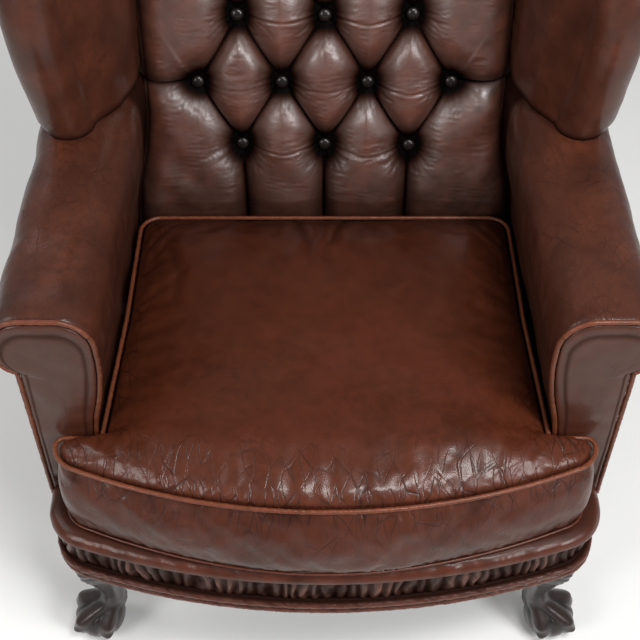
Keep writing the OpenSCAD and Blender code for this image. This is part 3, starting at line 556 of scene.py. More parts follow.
def woven_cloth(name, base, pitch):
    """Plain weave of threads of that pitch in metres."""
    s = Shader(name)
    waves = []
    for axis in ("X", "Y"):
        n = s.node("TexWave", {"Scale": 1 / pitch / 6.28, "Distortion": 1.2, "Detail Scale": 2.0,
                               "Vector": s.coords}, wave_type="BANDS", bands_direction=axis)
        waves.append(n.outputs["Fac"])
    weave = s.math("MAXIMUM", *waves)
    tone = s.mix(s.ramp(weave, 0.3, 0.95), times(base, 0.45), base)
    tone = s.mix(s.ramp(s.noise(30, 5, 0.6), 0.35, 0.7), tone, times(base, 0.75))
    s.set(Base_Color=tone, Roughness=0.9, Normal=s.bump(weave, pitch * 0.25, 0.7))
    return s.mat


def metal(name, base, rough):
    s = Shader(name)
    marks = s.noise(240, 5, 0.6, 0.0, s.stretched(1.0, 0.15, 1.0))
    tone = s.mix(s.ramp(marks, 0.3, 0.7), times(base, 0.8), times(base, 1.1))
    dull = s.ramp(s.noise(90, 4), 0.3, 0.7, rough - 0.08, rough + 0.12)
    s.set(Base_Color=tone, Metallic=1.0, Roughness=dull, Normal=s.bump(marks, 0.00005, 0.4))
    return s.mat


def foam(name, base):
    s = Shader(name)
    holes = s.cells(420, "F1")
    tone = s.mix(s.ramp(holes, 0.1, 0.6), times(base, 0.78), times(base, 1.05))
    s.set(Base_Color=tone, Roughness=0.95, Normal=s.bump(holes, 0.0006, 0.6))
    return s.mat


# Each leather's colour, roughness, grain, stray creases and their scale, darkness of the painted shade in
# the recesses, lightening of rubbed parts and painted highlights, mottling and coat, and for the back its
# gloss
LEATHERS = {
    "seat_leather": ("seat", 0.38, 0.8, 0.05, 52, 0.12, 1.6, 0.9, 0.25),
    "back_leather": ("back", 0.43, 1.2, 0.1, 70, 0.015, 1.7, 0.7, 0.35, 0.95),
    "arm_leather": ("arm", 0.38, 0.9, 0.12, 60, 0.16, 1.9, 0.7, 0.3),
    "piping_leather": ("piping", 0.45, 0.6, 0.2, 120, 0.3, 1.5, 0.9, 0.2),
    "bead_leather": ("bead", 0.36, 0.6, 0.1, 120, 0.2, 2.2, 0.9, 0.35),
    "ruched_leather": ("strip", 0.42, 0.6, 0.05, 90, 0.03, 2.6, 0.6, 0.12),
    "button_leather": ("button", 0.28, 0.4, 0.05, 160, 0.3, 1.4, 0.4, 0.3),
}
# The other finishes: how they are made, their base and their own measures
FINISHES = {
    "frame_wood": (wood, (0.45, 0.27, 0.13), 0.6),
    "screw_steel": (metal, (0.5, 0.49, 0.47), 0.3),
    "spring_steel": (metal, (0.2, 0.2, 0.21), 0.45),
    "zip_brass": (metal, (0.62, 0.42, 0.16), 0.3),
    "burlap": (woven_cloth, (0.42, 0.28, 0.14), 0.0022),
    "deck_cloth": (woven_cloth, (0.035, 0.022, 0.016), 0.0012),
    "webbing": (woven_cloth, (0.16, 0.12, 0.08), 0.003),
    "dust_cloth": (woven_cloth, (0.012, 0.012, 0.013), 0.0011),
    "twine": (woven_cloth, (0.6, 0.53, 0.4), 0.0008),
    "padding": (foam, (0.7, 0.62, 0.42)),
    "toggle": (foam, (0.1, 0.05, 0.03)),
}


MATS = {}


def new_finish(name):
    if name in LEATHERS:
        shade, *measures = LEATHERS[name]
        return leather(name, getattr(colours(), shade), *measures)
    if name == "leg_wood":
        return wood(name, colours().leg, 0.38, 0.4)
    make, *measures = FINISHES[name]
    return make(name, *measures)


def mat(name):
    """The finish of that name, made on first use."""
    if name not in MATS:
        MATS[name] = new_finish(name)
    return MATS[name]


# Seat cushion, in the deck's frame
# How far the front edge at the top stands behind the one at the foot
SETBACK = 19


def front_swell(path, depth):
    """How far the middle of the front boxing swells forward, at points of a path in plan."""
    return depth * bell(path[:, 0], 190) * (path[:, 1] < -300)


def t_half(o, e):
    """Half the cushion's T shape in plan, from the front centre to the back centre."""
    pr = sizes().piping_r / MM
    cy = FRONT_Y + 1 + pr + CUSHION_BOW_R + e
    ex = EAR_X - EAR_R
    ey = cy - sqrt((CUSHION_BOW_R - EAR_R) ** 2 - ex ** 2)
    a = degrees(atan2(ey - cy, ex))
    side = CUSHION_HALF_W + SPREAD + o
    back = ear_back() + o
    rear = FRONT_Y + 1 + CUSHION_D
    path = arc(0, cy, CUSHION_BOW_R + o, -90, a, 60) + arc(ex, ey, EAR_R + o, a, 0, 24)[1:]
    path += arc(EAR_X - 12, ear_back() - 12, 12 + o, 0, 90, 12)
    path += [(side + 6, back)] + arc(side + 6, back + 6, 6, -90, -180, 5)
    path += [(CUSHION_HALF_W + o, mix(ear_back(), rear, 0.5))]
    return path + arc(CUSHION_HALF_W - 30, rear - 30, 30 + o, 0, 90, 18) + [(0, rear + o)]


def ear_back():
    return ARM_FRONT_Y - 2 * sizes().piping_r / MM - 5 - CUSHION_H * sin(DECK_SLOPE)


def t_loop(o, e, n):
    """n even points round the cushion from the middle of its front."""
    half = t_half(o, e)
    return even(half + [(-x, y) for x, y in reversed(half)][1:-1], n, True)


HEART = np.array([0.0, ARM_FRONT_Y - 20])
CREASES = [
    [(30, 205), (25, 140), (12, 60), (8, 15)],
    [(-49, 200), (-38, 120), (-26, 40), (-24, 0)],
    [(-181, 210), (-158, 160), (-134, 115)],
    [(176, 205), (214, 160), (240, 110)],
    [(-225, 60), (-205, 0), (-210, -60)],
]
# Centre, radius and depth of each dimple
DIMPLES = [
    (70, -60, 70, 2.6),
    (-110, -30, 80, 2.2),
    (-10, -210, 90, 1.8),
    (60, 150, 60, 2.0),
    (-90, 150, 60, 1.8),
]


def cushion_shape(rows_round):
    """Rings from the middle of the bottom, up the boxing and over the crown."""
    s = sizes()
    pr = s.piping_r / MM
    inset = -pr - 0.2
    seam = CUSHION_H - pr
    low = 0.7
    loops = {}

    def loop(o, e):
        key = (round(o, 2), round(e, 2))
        if key not in loops:
            loops[key] = t_loop(o, e, rows_round)
        return loops[key]

    rings = []
    for t in (0.0, 0.2, 0.45, 0.7, 0.9, 0.985):
        rings.append((HEART + (loop(inset, 0) - HEART) * t, low))
    for t in steps(0, 1, 22):
        bulge = 3.4 * sin(pi * t) ** 0.8 - 1.2 * (1 - min(1, t / 0.08))
        e = SETBACK * table(np.array([t]), [(0, 0.08), (0.25, 0), (0.55, 0.15), (0.8, 0.5), (1, 1)])[0]
        ring = loop(inset + bulge, e).copy()
        ring[:, 1] -= front_swell(ring, 7.5 * bell(t - 0.08, 0.4))
        rings.append((ring, mix(low + 2.2, seam, t)))
    for t in (0.992, 0.98, 0.96, 0.93, 0.89, 0.84, 0.78, 0.71, 0.63, 0.54, 0.44, 0.33, 0.22, 0.11, 0.0):
        rise = (s.crown_h / MM + 2) * (0.62 * (1 - t ** 4) + 0.38 * (1 - t ** 18))
        rings.append((HEART + (loop(inset, SETBACK) - HEART) * t, seam + rise))
    return [join(r, np.full(len(r), z)) for r, z in rings]


def settle(obj, cloth_pins):
    """A short pressure run that pulls the cover tight between its pinned seams."""
    group = obj.vertex_groups.new(name="held")
    for i, w in enumerate(cloth_pins):
        if w > 0.01:
            group.add([i], float(w), "REPLACE")
    before = points(obj)
    cloth = obj.modifiers.new("cover", "CLOTH")
    c = cloth.settings
    c.quality = 5
    c.mass = 0.35
    c.tension_stiffness = c.compression_stiffness = 18
    c.shear_stiffness = 8
    c.bending_stiffness = 0.35
    c.air_damping = 3
    c.use_pressure = True
    c.uniform_pressure_force = 4
    c.shrink_min = -0.035
    c.effector_weights.gravity = 0
    c.vertex_group_mass = "held"
    cloth.collision_settings.use_collision = False
    cloth.point_cache.frame_start, cloth.point_cache.frame_end = 1, 20
    scene = bpy.context.scene
    for frame_no in range(1, 21):
        scene.frame_set(frame_no)
        bpy.context.view_layer.update()
    shape = bpy.data.meshes.new_from_object(obj.evaluated_get(bpy.context.evaluated_depsgraph_get()))
    after = read(shape.vertices, "co") / MM
    obj.modifiers.remove(cloth)
    obj.vertex_groups.remove(group)
    bpy.data.meshes.remove(shape)
    scene.frame_set(1)
    move = after - before
    size = np.linalg.norm(move, axis=1)
    if not np.isfinite(size).all():
        raise RuntimeError(f"the cover of {obj.name} did not settle")
    move *= (0.55 * np.minimum(size, 14.0) / np.maximum(size, 1e-6))[:, None]
    set_points(obj, before + move)


def remeshed(obj, voxel, rounds):
    """The object's surface as even quads of that size in metres, smoothed that many times."""
    change = obj.modifiers.new("even", "REMESH")
    change.mode = "VOXEL"
    change.voxel_size = voxel
    calm = obj.modifiers.new("calm", "SMOOTH")
    calm.iterations = rounds
    calm.factor = 0.5
    apply(obj)


def apply(obj):
    """Bakes the modifiers into the mesh."""
    mesh = bpy.data.meshes.new_from_object(obj.evaluated_get(bpy.context.evaluated_depsgraph_get()))
    obj.modifiers.clear()
    old, obj.data = obj.data, mesh
    bpy.data.meshes.remove(old)
    obj.data.shade_smooth()


def split(obj):
    change = obj.modifiers.new("finer", "SUBSURF")
    change.levels = change.render_levels = 1
    apply(obj)


def press(p, lines, width, depth):
    """Creases along lines: a groove with a low ridge on each side. Returns the moves and the closeness."""
    move, close = np.zeros(len(p)), np.zeros(len(p))
    q = p[:, :2]
    for k, line in enumerate(lines):
        path = even(line, 24)
        path += join(ripple(path, 70, 40 + k), ripple(path, 70, 80 + k)) * 5
        d, t = to_line(q, path)
        fade = np.sin(pi * clip01(t)) ** 0.6
        w = width * (0.8 + 0.4 * sin(k * 2.3))
        move += depth * fade * (-bell(d, w) + 0.55 * bell(d - 2.1 * w, 1.2 * w))
        close = np.maximum(close, fade * bell(d, 0.8 * w))
    return move, close


def make_cushion():
    s = sizes()
    n_round = 240
    rings = cushion_shape(n_round)

    def place(u, v):
        i, j = whole(u) % n_round, whole(v)
        return np.array([rings[b][a] for a, b in zip(i, j)])

    obj = woven("seat_cushion", [(np.arange(n_round + 1), np.arange(len(rings)), place)])
    remeshed(obj, 0.0066, 2)
    seam = CUSHION_H - s.piping_r / MM
    top_line = join(t_loop(-3.4, SETBACK, 420), np.full(420, seam))
    low_line = join(t_loop(-3.4, 1, 420), np.full(420, 3.0))
    p = points(obj)
    near_top, near_low = nearest(p, top_line), nearest(p, low_line)
    held = np.maximum(clip01(1 - (near_top - 5) / 9), clip01(1 - (near_low - 5) / 9))
    flat = (p[:, 2] < 12) | (p[:, 1] > 100) & (p[:, 2] < seam)
    settle(obj, np.maximum(held, flat))
    split(obj)
    p, n = points(obj), normals(obj)
    near_top, near_low = nearest(p, top_line), nearest(p, low_line)
    top = soft((n[:, 2] - 0.25) / 0.4)
    front = soft((-n[:, 1] - 0.3) / 0.4) * (p[:, 2] > 6) * (p[:, 2] < seam)
    sides = (1 - top) * (p[:, 2] > 6)
    away = soft((near_top - 3) / 22)
    move, close = press(p, CREASES, 8.5, 1.5)
    move, close = move * top * away, close * top
    for x, y, r, h in DIMPLES:
        move -= h * np.exp(-((p[:, 0] - x) ** 2 + (p[:, 1] - y) ** 2) / r ** 2) * top
    k = s.wrinkle / MM
    move += k * 0.55 * ripple(p, 130, 11) * (top + 0.5 * sides) * away
    move += k * 0.1 * ripple(p, 46, 12) * (top + sides) * away
    along = np.arctan2(p[:, 0] - HEART[0], -(p[:, 1] - HEART[1])) * 330
    pucker = ripple(join(along, p[:, 2] * 0.12), 17, 15)
    at_seam = bell(near_top - 10, 10)
    move += 0.85 * pucker * at_seam * (0.35 * top + sides)
    move += 0.6 * pucker * bell(near_low - 9, 8) * sides
    band = ripple(join(p[:, 0] * 0.6, p[:, 2]), 34, 17)
    move += 0.45 * band * front * soft((near_top - 8) / 14) * soft((near_low - 8) / 14)
    pinch = 1.8 * bell(near_top, 3.4) + 1.5 * bell(near_low - 7, 2.0) * sides
    set_points(obj, on_deck(p + n * (move - pinch)[:, None]))
    # Painted shade along the top seam under the piping and along the low seam on the sides
    shade = np.maximum(bell(near_top, 4.0) * 0.6,
                       bell(near_low - 7, 2.4) * 0.55 * sides)
    stain = clip01(ripple(p, 60, 21) * 0.5 + 0.35) * front * bell(near_top, 26)
    # More painted shade in the pressed creases (close) and over the back of the top, which the back and the
    # wings shade; stain is patina by the top seam and the ripple on the front is mottling
    shade = clip01(shade + 0.35 * close + 0.5 * stain + 0.12 * front * clip01(ripple(p, 44, 22) - 0.1)
                   + 0.45 * top * soft((p[:, 1] - 40) / 130))
    # Lighter towards the front of the top, and in a band just inside the top seam
    lighter_to_front = top * soft((-p[:, 1] - 40) / 300) * (0.45 + 0.25 * ripple(p, 120, 23))
    set_values(obj, "shade", shade)
    set_values(obj, "wear", clip01(lighter_to_front + 0.3 * top * bell(near_top - 9, 6)))
    at_edge = 0.95 * bell(near_top, 44)
    further = 0.5 * soft((-p[:, 1] - 250) / 90) * (0.5 + ripple(p, 90, 24))
    set_values(obj, "crease", clip01(top * (at_edge + further) + 0.4 * front))
    finish(obj, mat("seat_leather"), "cushion", "seat_leather", "cushion_foam", "cushion_top_panel",
           "cushion_boxing", "cushion_bottom_panel")


def nearest(p, line):
    """Distance from each point to the nearest of the line's points."""
    out = np.empty(len(p))
    for a in range(0, len(p), 8000):
        q = p[a:a + 8000]
        d = (q ** 2).sum(1)[:, None] + (line ** 2).sum(1)[None] - 2 * q @ line.T
        out[a:a + 8000] = np.sqrt(np.maximum(d.min(1), 0))
    return out


def make_cushion_cord():
    s = sizes()
    pr = s.piping_r / MM
    path = t_loop(0, SETBACK, 1500)
    line = on_deck(join(path, np.full(len(path), CUSHION_H - pr - 1.25)))
    obj = tube("cushion_cord", [line], pr, 12, True)
    finish(obj, mat("piping_leather"), "cushion", "piping_leather", "cushion_piping")
    path = t_loop(-3.2, 1, 1500)
    jut = front_swell(path, 7.0)
    line = on_deck(join(path[:, 0], path[:, 1] - jut - 0.9, np.full(1500, 7.0)))
    fold = tube("cushion_hem", [line], 1.7, 8, True, wobble=0.06)
    finish(fold, mat("seat_leather"), "cushion", "seat_leather")


# Tufted back, in the back's frame: u across, v up the lean
# How far some buttons, by row and place, were pulled off the even pattern
BUTTON_SHIFTS = {
    (0, 0): (1, 1),
    (0, 2): (2, -2),
    (1, 0): (2, 0),
    (1, 3): (-3, 0),
    (2, 0): (1, 1),
    (2, 2): (-1, 2),
}


def tuft_map():
    """The buttons' places and the pleats between them."""
    s = sizes()
    w, h, first = s.tuft_w / MM, s.tuft_h / MM, s.first_row / MM
    buttons = []
    for j in range(5):
        for i in range(3 + j % 2):
            dx, dz = BUTTON_SHIFTS.get((j, i), (0, 0))
            buttons.append(((i - 1 - j % 2 / 2) * w + dx, first + j * h + dz, j))
    top = first + 4 * h
    lines = [(a[:2], b[:2]) for a in buttons for b in buttons
             if b[2] - a[2] == 1 and abs(b[0] - a[0]) < w * 0.6]
    lines += [(a[:2], (a[0], 0)) for a in buttons if a[2] == 0]
    lines += [(a[:2], (a[0], top + 3 * h)) for a in buttons if a[2] == 4]
    lines += [(a[:2], (np.sign(a[0]) * 4 * w, a[1])) for a in buttons if abs(a[0]) > w * 1.3]
    return [b[:2] for b in buttons], lines


def side_folds(buttons):
    """Slack folds that hang between neighbours in a row, deeper between some than others."""
    rows = sorted(buttons, key=lambda b: (round(b[1] / 30), b[0]))
    pairs = [(a, b) for a, b in zip(rows, rows[1:]) if b[0] > a[0] and abs(a[1] - b[1]) < 20]
    return [(a, b, 0.35 + 0.95 * abs(sin(2.7 * k + 1.0))) for k, (a, b) in enumerate(pairs)]


def tuft_height(u, v):
    """Height over the webbing, the painted shade in pleats and round buttons, and how high on a tuft, which
    lightens its crown and lip (rubbing and painted highlight).
    """
    s = sizes()
    buttons, lines = tuft_map()
    p = join(u, v)
    d_all = np.array([np.hypot(u - b[0], v - b[1]) for b in buttons])
    who = d_all.argmin(0)
    db = d_all.min(0)
    centre = np.array(buttons)[who]
    dp, side = np.full(len(p), 1e9), np.zeros(len(p))
    for k, (a, b) in enumerate(lines):
        a, b = np.array(a, float), np.array(b, float)
        d = (b - a) / np.linalg.norm(b - a)
        t = np.clip((p - a) @ d, 0, np.linalg.norm(b - a))
        bow = 2.5 * np.sin(t / np.linalg.norm(b - a) * pi) * sin(k * 1.9)
        off = (p - a) @ np.array([-d[1], d[0]]) - bow
        r = np.hypot(off, np.maximum(np.abs((p - a) @ d - t), 0))
        near = r < dp
        dp[near], side[near] = r[near], (np.sign(off) * (1 if k % 2 else -1))[near]
    edge = clip01((back_edge(v) - np.abs(u)) / 34)
    rim = np.sqrt(1 - (1 - edge) ** 2)
    low = 0.35 + 0.65 * clip01(v / 140)
    high = np.where(v <= CREST_V, 1, mix(0.8, 0.2, clip01((v - CREST_V) / (pi * CREST_R))))
    puff = s.puff_h / MM
    body = 0.12 + 0.88 * (1 - np.exp(-dp / np.where(side > 0, 10.0, 19.0)))
    dome = 1 - bell(db, 28)
    h = s.button_depth / MM + puff * high * body * dome
    lip = 1.6 * bell(dp - 5.0, 3.0) * (side > 0) * soft((db - 10) / 18)
    groove = 3.2 * bell(dp, 2.2) * soft((db - 5) / 10)
    angle = np.arctan2(v - centre[:, 1], u - centre[:, 0])
    turn = angle * 7 + 1.1 * np.sin(angle * 2 + who) + who * 1.3
    pucker = 1.9 * (np.abs(np.sin(turn)) ** 0.6 - 0.7) * bell(db - 17, 9)
    pucker += 0.9 * (np.abs(np.sin(turn * 1.7 + 0.8)) ** 0.5 - 0.7) * bell(db - 25, 11)
    below = 0.45 + 0.75 * soft(0.5 - 0.8 * np.sin(angle))
    long = ripple(join(angle * 30, db * 0.12 + who * 31.0), 9.5, 31)
    long = (np.minimum(np.abs(long) * 2.2, 1) - 0.7) * 1.3 * bell(db - 32, 17) * below
    slack = ripple(join(u * 0.16, v + u * 0.12), 6.5, 35)
    slack = slack * 0.26 * clip01(ripple(p, 60, 36) * 1.5) * dome
    fold = np.zeros(len(p))
    for k, (a, b, depth) in enumerate(side_folds(buttons)):
        path = even([a, mix(np.array(a), np.array(b), 0.5) - (0, 9 + 4 * sin(k * 2.1)), b], 12)
        d, t = to_line(p, path)
        fold_edge = bell(d - 3.4, 2.4) * 0.5 - bell(d, 2.0)
        fold += depth * fold_edge * soft(4 * np.minimum(t, 1 - t))
    h += (lip - groove + pucker + long + fold + slack) * high
    h += (0.9 * ripple(p, 75, 33) + 0.12 * ripple(p, 30, 34)) * body * dome
    # Painted shade: thin dark pleat lines, wide dark wells round the buttons, a darkening towards each
    # pleat, and along the slack folds
    deep = clip01(0.95 * bell(dp, 1.6) + 1.25 * bell(db, 29)
                  + 0.24 * bell(dp, 14) - 0.15 * fold)
    # Painted highlight on the lip beside each pleat; the tufts' crowns are lighter too, partly rubbing,
    # partly painted highlight
    lip_highlight = 0.8 * bell(dp - 4.2, 1.8) * (side > 0) * soft((db - 14) / 14)
    ridge = clip01(soft((dp - 10) / 16) * dome + lip_highlight)
    return h * low * mix(0.4, 1, rim), deep, ridge


def back_edge(v):
    """Half the back's width at v, wider where the arm's inner face falls back."""
    t = (ARM_TOP - ROLL_R - RAIL_TOP - v * cos(RECLINE)) / (ARM_TOP - ROLL_R - RAIL_TOP - 17)
    share = np.interp(clip01(t), [0.12, 0.3, 0.5, 0.7, 1], [0, 0.25, 0.75, 0.96, 1])
    return BACK_HALF_W + HOLLOW * share


def over_crest(u, v, h):
    a = np.maximum(v - CREST_V, 0) / CREST_R
    flat = v <= CREST_V
    y = np.where(flat, -h, CREST_R - (CREST_R + h) * np.cos(a))
    z = np.where(flat, v, CREST_V + (CREST_R + h) * np.sin(a))
    return join(u, y, z)


def make_back():
    half = BACK_HALF_W + 4.2
    front = steps(-half, half, 236)
    around = np.concatenate([front, steps(half, half + 1, 1)[1:], steps(half + 2, half + 12, 10)])
    crest = CREST_V + radians(192) * CREST_R
    rows = np.concatenate([steps(14, CREST_V, 330), steps(CREST_V, crest, 36)[1:]])

    def place(u, v):
        on_front = u <= half + 0.01
        behind = u >= half + 1.9
        x = np.where(on_front, u, np.where(behind, half - (u - half - 2) / 10 * 2 * half, half))
        wide = back_edge(v) - BACK_HALF_W
        x = x + np.sign(x) * wide * soft((np.abs(x) - 180) / (half - 180))
        h, deep, ridge = tuft_height(x, v)
        h = np.where(on_front, h, 2.3)
        ends = soft((v - 14) / 16)
        p = over_crest(x, v, np.where(on_front, mix(2.3, h, mix(0.7, 1, ends)), h))
        return on_back(p), np.where(on_front, deep, 0), np.where(on_front, ridge, 0)

    obj = woven("tufted_back", [(np.append(around, -half), rows, place)], fill=True)
    p = points(obj)
    shade, ridge = get_values(obj, "shade"), get_values(obj, "wear")
    # Painted shade over the lower back, where the arms and the cushion shade it
    low = soft((560 - p[:, 2]) / 130)
    set_values(obj, "shade", clip01(shade + 0.5 * low))
    set_values(obj, "wear", clip01(ridge * (0.3 + 0.3 * ripple(p, 50, 41))))
    finish(obj, mat("back_leather"), "chair", "back_leather", "back_cover", "back_padding")


def make_buttons():
    s = sizes()
    r, depth = s.button_r / MM, s.button_depth / MM
    sets = []
    for k, (bu, bv) in enumerate(tuft_map()[0]):
        def place(u, v, bu=bu, bv=bv, k=k):
            a = radians(1) * u
            cap = r * (1.0 + 0.012 * np.sin(3 * a + k))
            reach = np.interp(v, [0, 1, 2, 3], [0.0, 0.86, 1.0, 0.0]) * cap
            t = clip01(v - 2)
            reach = np.where(v > 2, cap * np.cos(t * pi / 2), reach)
            side_h = np.interp(v, [0, 1, 2], [3.6, 3.8, 5.2])
            h = depth + np.where(v > 2, 5.2 + 5.4 * np.sin(t * pi / 2), side_h)
            h = h + 0.1 * np.sin(2 * a + k) * np.sin(pi * t)
            p = join(bu + reach * np.cos(a), -h, bv + reach * np.sin(a))
            # Painted shade on the button's sides down in its well and round the dome's foot; the dome is
            # lighter towards its top
            return on_back(p), np.where(v < 1.9, 1.0, 0.25 * (1 - t)), 0.8 * t
        sets.append((steps(0, 360, 40), np.concatenate([[0, 1], steps(2, 3, 12)]), place))
    obj = woven("back_button_caps", sets)
    finish(obj, mat("button_leather"), "chair", "button_leather", "back_buttons")


# Arms, wings and trim
def mirrored(p, sign):
    q = np.array(p, float)
    q[:, 0] *= sign
    return q


def arm_section(o, n):
    """The arm's closed section in x and z, up its outer face, over both rolls and down its inner face."""
    roll_x, roll_z, inner = OUT_X - ROLL_R, ARM_TOP - ROLL_R, ARM_IN_X + ROLL_R
    start = -degrees(acos((PANEL_X + o - roll_x) / (ROLL_R + o)))
    panel_top = roll_z + (ROLL_R + o) * sin(radians(start))
    path = [(PANEL_X + o, z) for z in steps(RAIL_LOW + TRIM_H, panel_top, 12)]
    path += arc(roll_x, roll_z, ROLL_R + o, start, 90, 40)[1:]
    path += arc(inner, roll_z, ROLL_R + o, 90, 180, 26)
    share = [(0, 0), (0.12, 0), (0.3, 0.25), (0.5, 0.75), (0.7, 0.96), (1, 1)]
    t = steps(0, 1, 30)[1:]
    path += list(zip(ARM_IN_X + HOLLOW * table(t, share) - o, mix(roll_z, RAIL_TOP + 17, t)))
    return even(path, n)


def rear_w(x):
    inner, roll = ARM_IN_X + ROLL_R, OUT_X - ROLL_R
    return mix(3.5, -PANEL_GAP + 0.3, clip01((x - inner) / (roll - inner)))


def arm_points(path, t):
    """Section points put at share t of the way from the back to the arm's front."""
    y = mix(lean_y(path[:, 1], rear_w(path[:, 0])), ARM_FRONT_Y, t)
    x = path[:, 0] + 0.02 * (BACK_Y - y) * (OUT_X - path[:, 0]) / ARM_W
    return join(x, y, path[:, 1])


ARM_HEART = np.array([333.0, 560.0])


def make_arm(side, sign):
    n = 170
    sections = {}

    def section(o):
        key = round(o, 2)
        if key not in sections:
            sections[key] = arm_section(key, n)
        return sections[key]

    def place(u, v):
        i = whole(u) % n
        out = np.empty((len(u), 3))
        near_front = np.maximum(0, (v - 0.985) / 0.015)
        for k in np.unique(v):
            m = v == k
            o = -3.0 * min(1, near_front[m][0]) ** 2
            ring = mix(section(o)[i[m]], ARM_HEART, max(0, k - 1))
            out[m] = arm_points(ring, np.full(m.sum(), min(1, k)))
        return mirrored(out, sign)

    rows = np.concatenate([steps(0, 0.985, 110), [0.99, 0.995, 1.0, 2.0]])
    obj = woven(f"{side}_arm", [(np.arange(n + 1), rows, place)], fill=True)
    p = points(obj)
    x, y, z = np.abs(p[:, 0]), p[:, 1], p[:, 2]
    t = clip01((BACK_Y - y) / (BACK_Y - ARM_FRONT_Y))
    from_back, from_front = t * 450, (1 - t) * 450
    k = sizes().wrinkle / MM
    free = soft(t * 9) * soft((1 - t) * 14) * soft((z - 318) / 20)
    nrm = normals(obj)
    top = soft((nrm[:, 2] + 0.1) / 0.5)
    move = k * 0.9 * ripple(p, 140, 51 + int(sign)) + k * 0.15 * ripple(p, 50, 53)
    pull = ripple(join(y, z * 0.15), 26, 55)
    move += 1.1 * pull * bell(z - 585, 28) * (x < 300)
    fan = ripple(join(np.arctan2(z - 612, x - 332) * 48, y * 0.25), 13, 57)
    move += fan * bell(from_front, 26) * soft((z - 500) / 60)
    move += 0.9 * fan * bell(from_back, 34) * soft((z - 480) / 60)
    set_points(obj, p + nrm * (move * free)[:, None])
    # Painted shade: under the roll, over the lower inner face, in the inner corner by the back and along the
    # facing
    under = bell(z - 566, 26) * (x < 300) * 0.35
    low = soft((480 - z) / 110) * (x < 330)
    at_back = 0.8 * bell(from_back, 16) * soft((350 - x) / 40)
    at_facing = 0.4 * bell(from_front, 4)
    set_values(obj, "shade", clip01(0.55 * low + under + at_back + at_facing))
    set_values(obj, "wear", clip01(top * (0.4 + 0.3 * ripple(p, 90, 58)) * soft((z - 600) / 50)))
    set_values(obj, "crease", clip01(top * 0.35 * soft((z - 620) / 30) + 0.15 * ripple(p, 80, 59)))
    finish(obj, mat("arm_leather"), "chair", "arm_leather", f"{side}_arm_cover", f"{side}_arm_padding")


def make_arm_front(side, sign):
    """The facing, drawn tight over its board, with a shallow welt inside the edge."""
    n = 150
    edge = arm_section(-FACING_INSET, n)
    heart = ARM_HEART

    def place(u, v):
        i = whole(u) % n
        scale = np.interp(v, [-1, 0, 2, 3, 12], [0.0, 1, 1, 0.985, 0.0])
        inset = np.interp(v, [0, 1, 2, 3, 12], [0.0, 0.0, 1.2, 3.0, 3.0]) * clip01(6 * scale)
        out = heart + (edge[i] - heart) * scale[:, None]
        toward = heart - edge[i]
        out = out + toward / np.linalg.norm(toward, axis=1)[:, None] * inset[:, None]
        depth = np.interp(v, [0, 1, 2, 3, 12], [0.3, 3.8, 5.4, 6.2, 6.2])
        depth = depth + 1.6 * np.sin(pi * clip01((v - 3) / 9) * 0.5) ** 0.7 * (v > 3)
        depth = depth - bell(v - 4.2, 0.35)
        q = arm_points(out, np.ones(len(u)))
        q[:, 1] = ARM_FRONT_Y - depth
        # Painted shade on the facing's rim and in the welt's groove
        shade = np.where(v < 1.5, 0.7, 0.0) + 0.5 * bell(v - 4.2, 0.5)
        return mirrored(q, sign), clip01(shade), clip01(0.35 * (v > 1.5) * (1 - (v - 2) / 10))

    rows = np.concatenate([[-1, 0, 1, 2, 3], steps(3, 5.4, 10)[1:], steps(5.4, 12, 14)[1:]])
    obj = woven(f"{side}_arm_facing", [(np.arange(n + 1), rows, place)])
    p = points(obj)
    soften(obj, 0.5, 61, 0.8, soft((ARM_FRONT_Y - 4 - p[:, 1]) / 2))
    finish(obj, mat("arm_leather"), "chair", "arm_leather", f"{side}_arm_front")


def make_arm_piping():
    s = sizes()
    pr = s.piping_r / MM
    lines = []
    for sign in (1, -1):
        q = arm_points(arm_section(pr + 0.9 - FACING_INSET, 420), np.ones(420))
        q[:, 1] = ARM_FRONT_Y - pr
        lines.append(mirrored(q, sign))
    obj = tube("arm_piping_cord", lines, pr, 10)
    finish(obj, mat("piping_leather"), "chair", "piping_leather", "arm_piping")


def wing_front(z):
    wide = lean_y(WING_WIDE, WING_REACH)
    if z < WING_WIDE:
        return wide + WING_REACH * 0.1 * ((WING_WIDE - z) / (WING_WIDE - WING_LOW)) ** 2
    up = (z - WING_WIDE) / (WING_TOP - WING_WIDE)
    return wide + WING_REACH * 1.12 * (1 - sqrt(max(0.0, 1 - up ** 2)))


def wing_section(z, o, n):
    """The wing's closed section at z, o outside its padding: inner face, round nose, outer face."""
    pinch = 6 * max(0, 1 - (z - WING_LOW) / 20) - o
    yi, yr, yf = lean_y(z, 3.5), lean_y(z, 0.3 - PANEL_GAP), wing_front(z) + max(0, -o)
    flare = (BACK_Y + (z - RAIL_TOP) * LEAN - yf) * WING_FLARE
    xi, xo = WING_IN_X - o, WING_IN_X + WING_T - pinch
    r = (xo - xi) / 2
    slow = flare * 0.4

    def face(x, y):
        return [(x + slow * max(0, (s - 0.35) / 0.4) ** 1.3 if s < 0.75 else
                 mix(x + slow, x + flare, (s - 0.75) / 0.25), mix(y, yf + r, s)) for s in steps(0, 1, 16)]

    nose = arc(xi + r + flare, yf + r, r, 180, 360, 24)[1:-1]
    return even(face(xi, yi) + nose + face(xo, yr)[::-1], n)


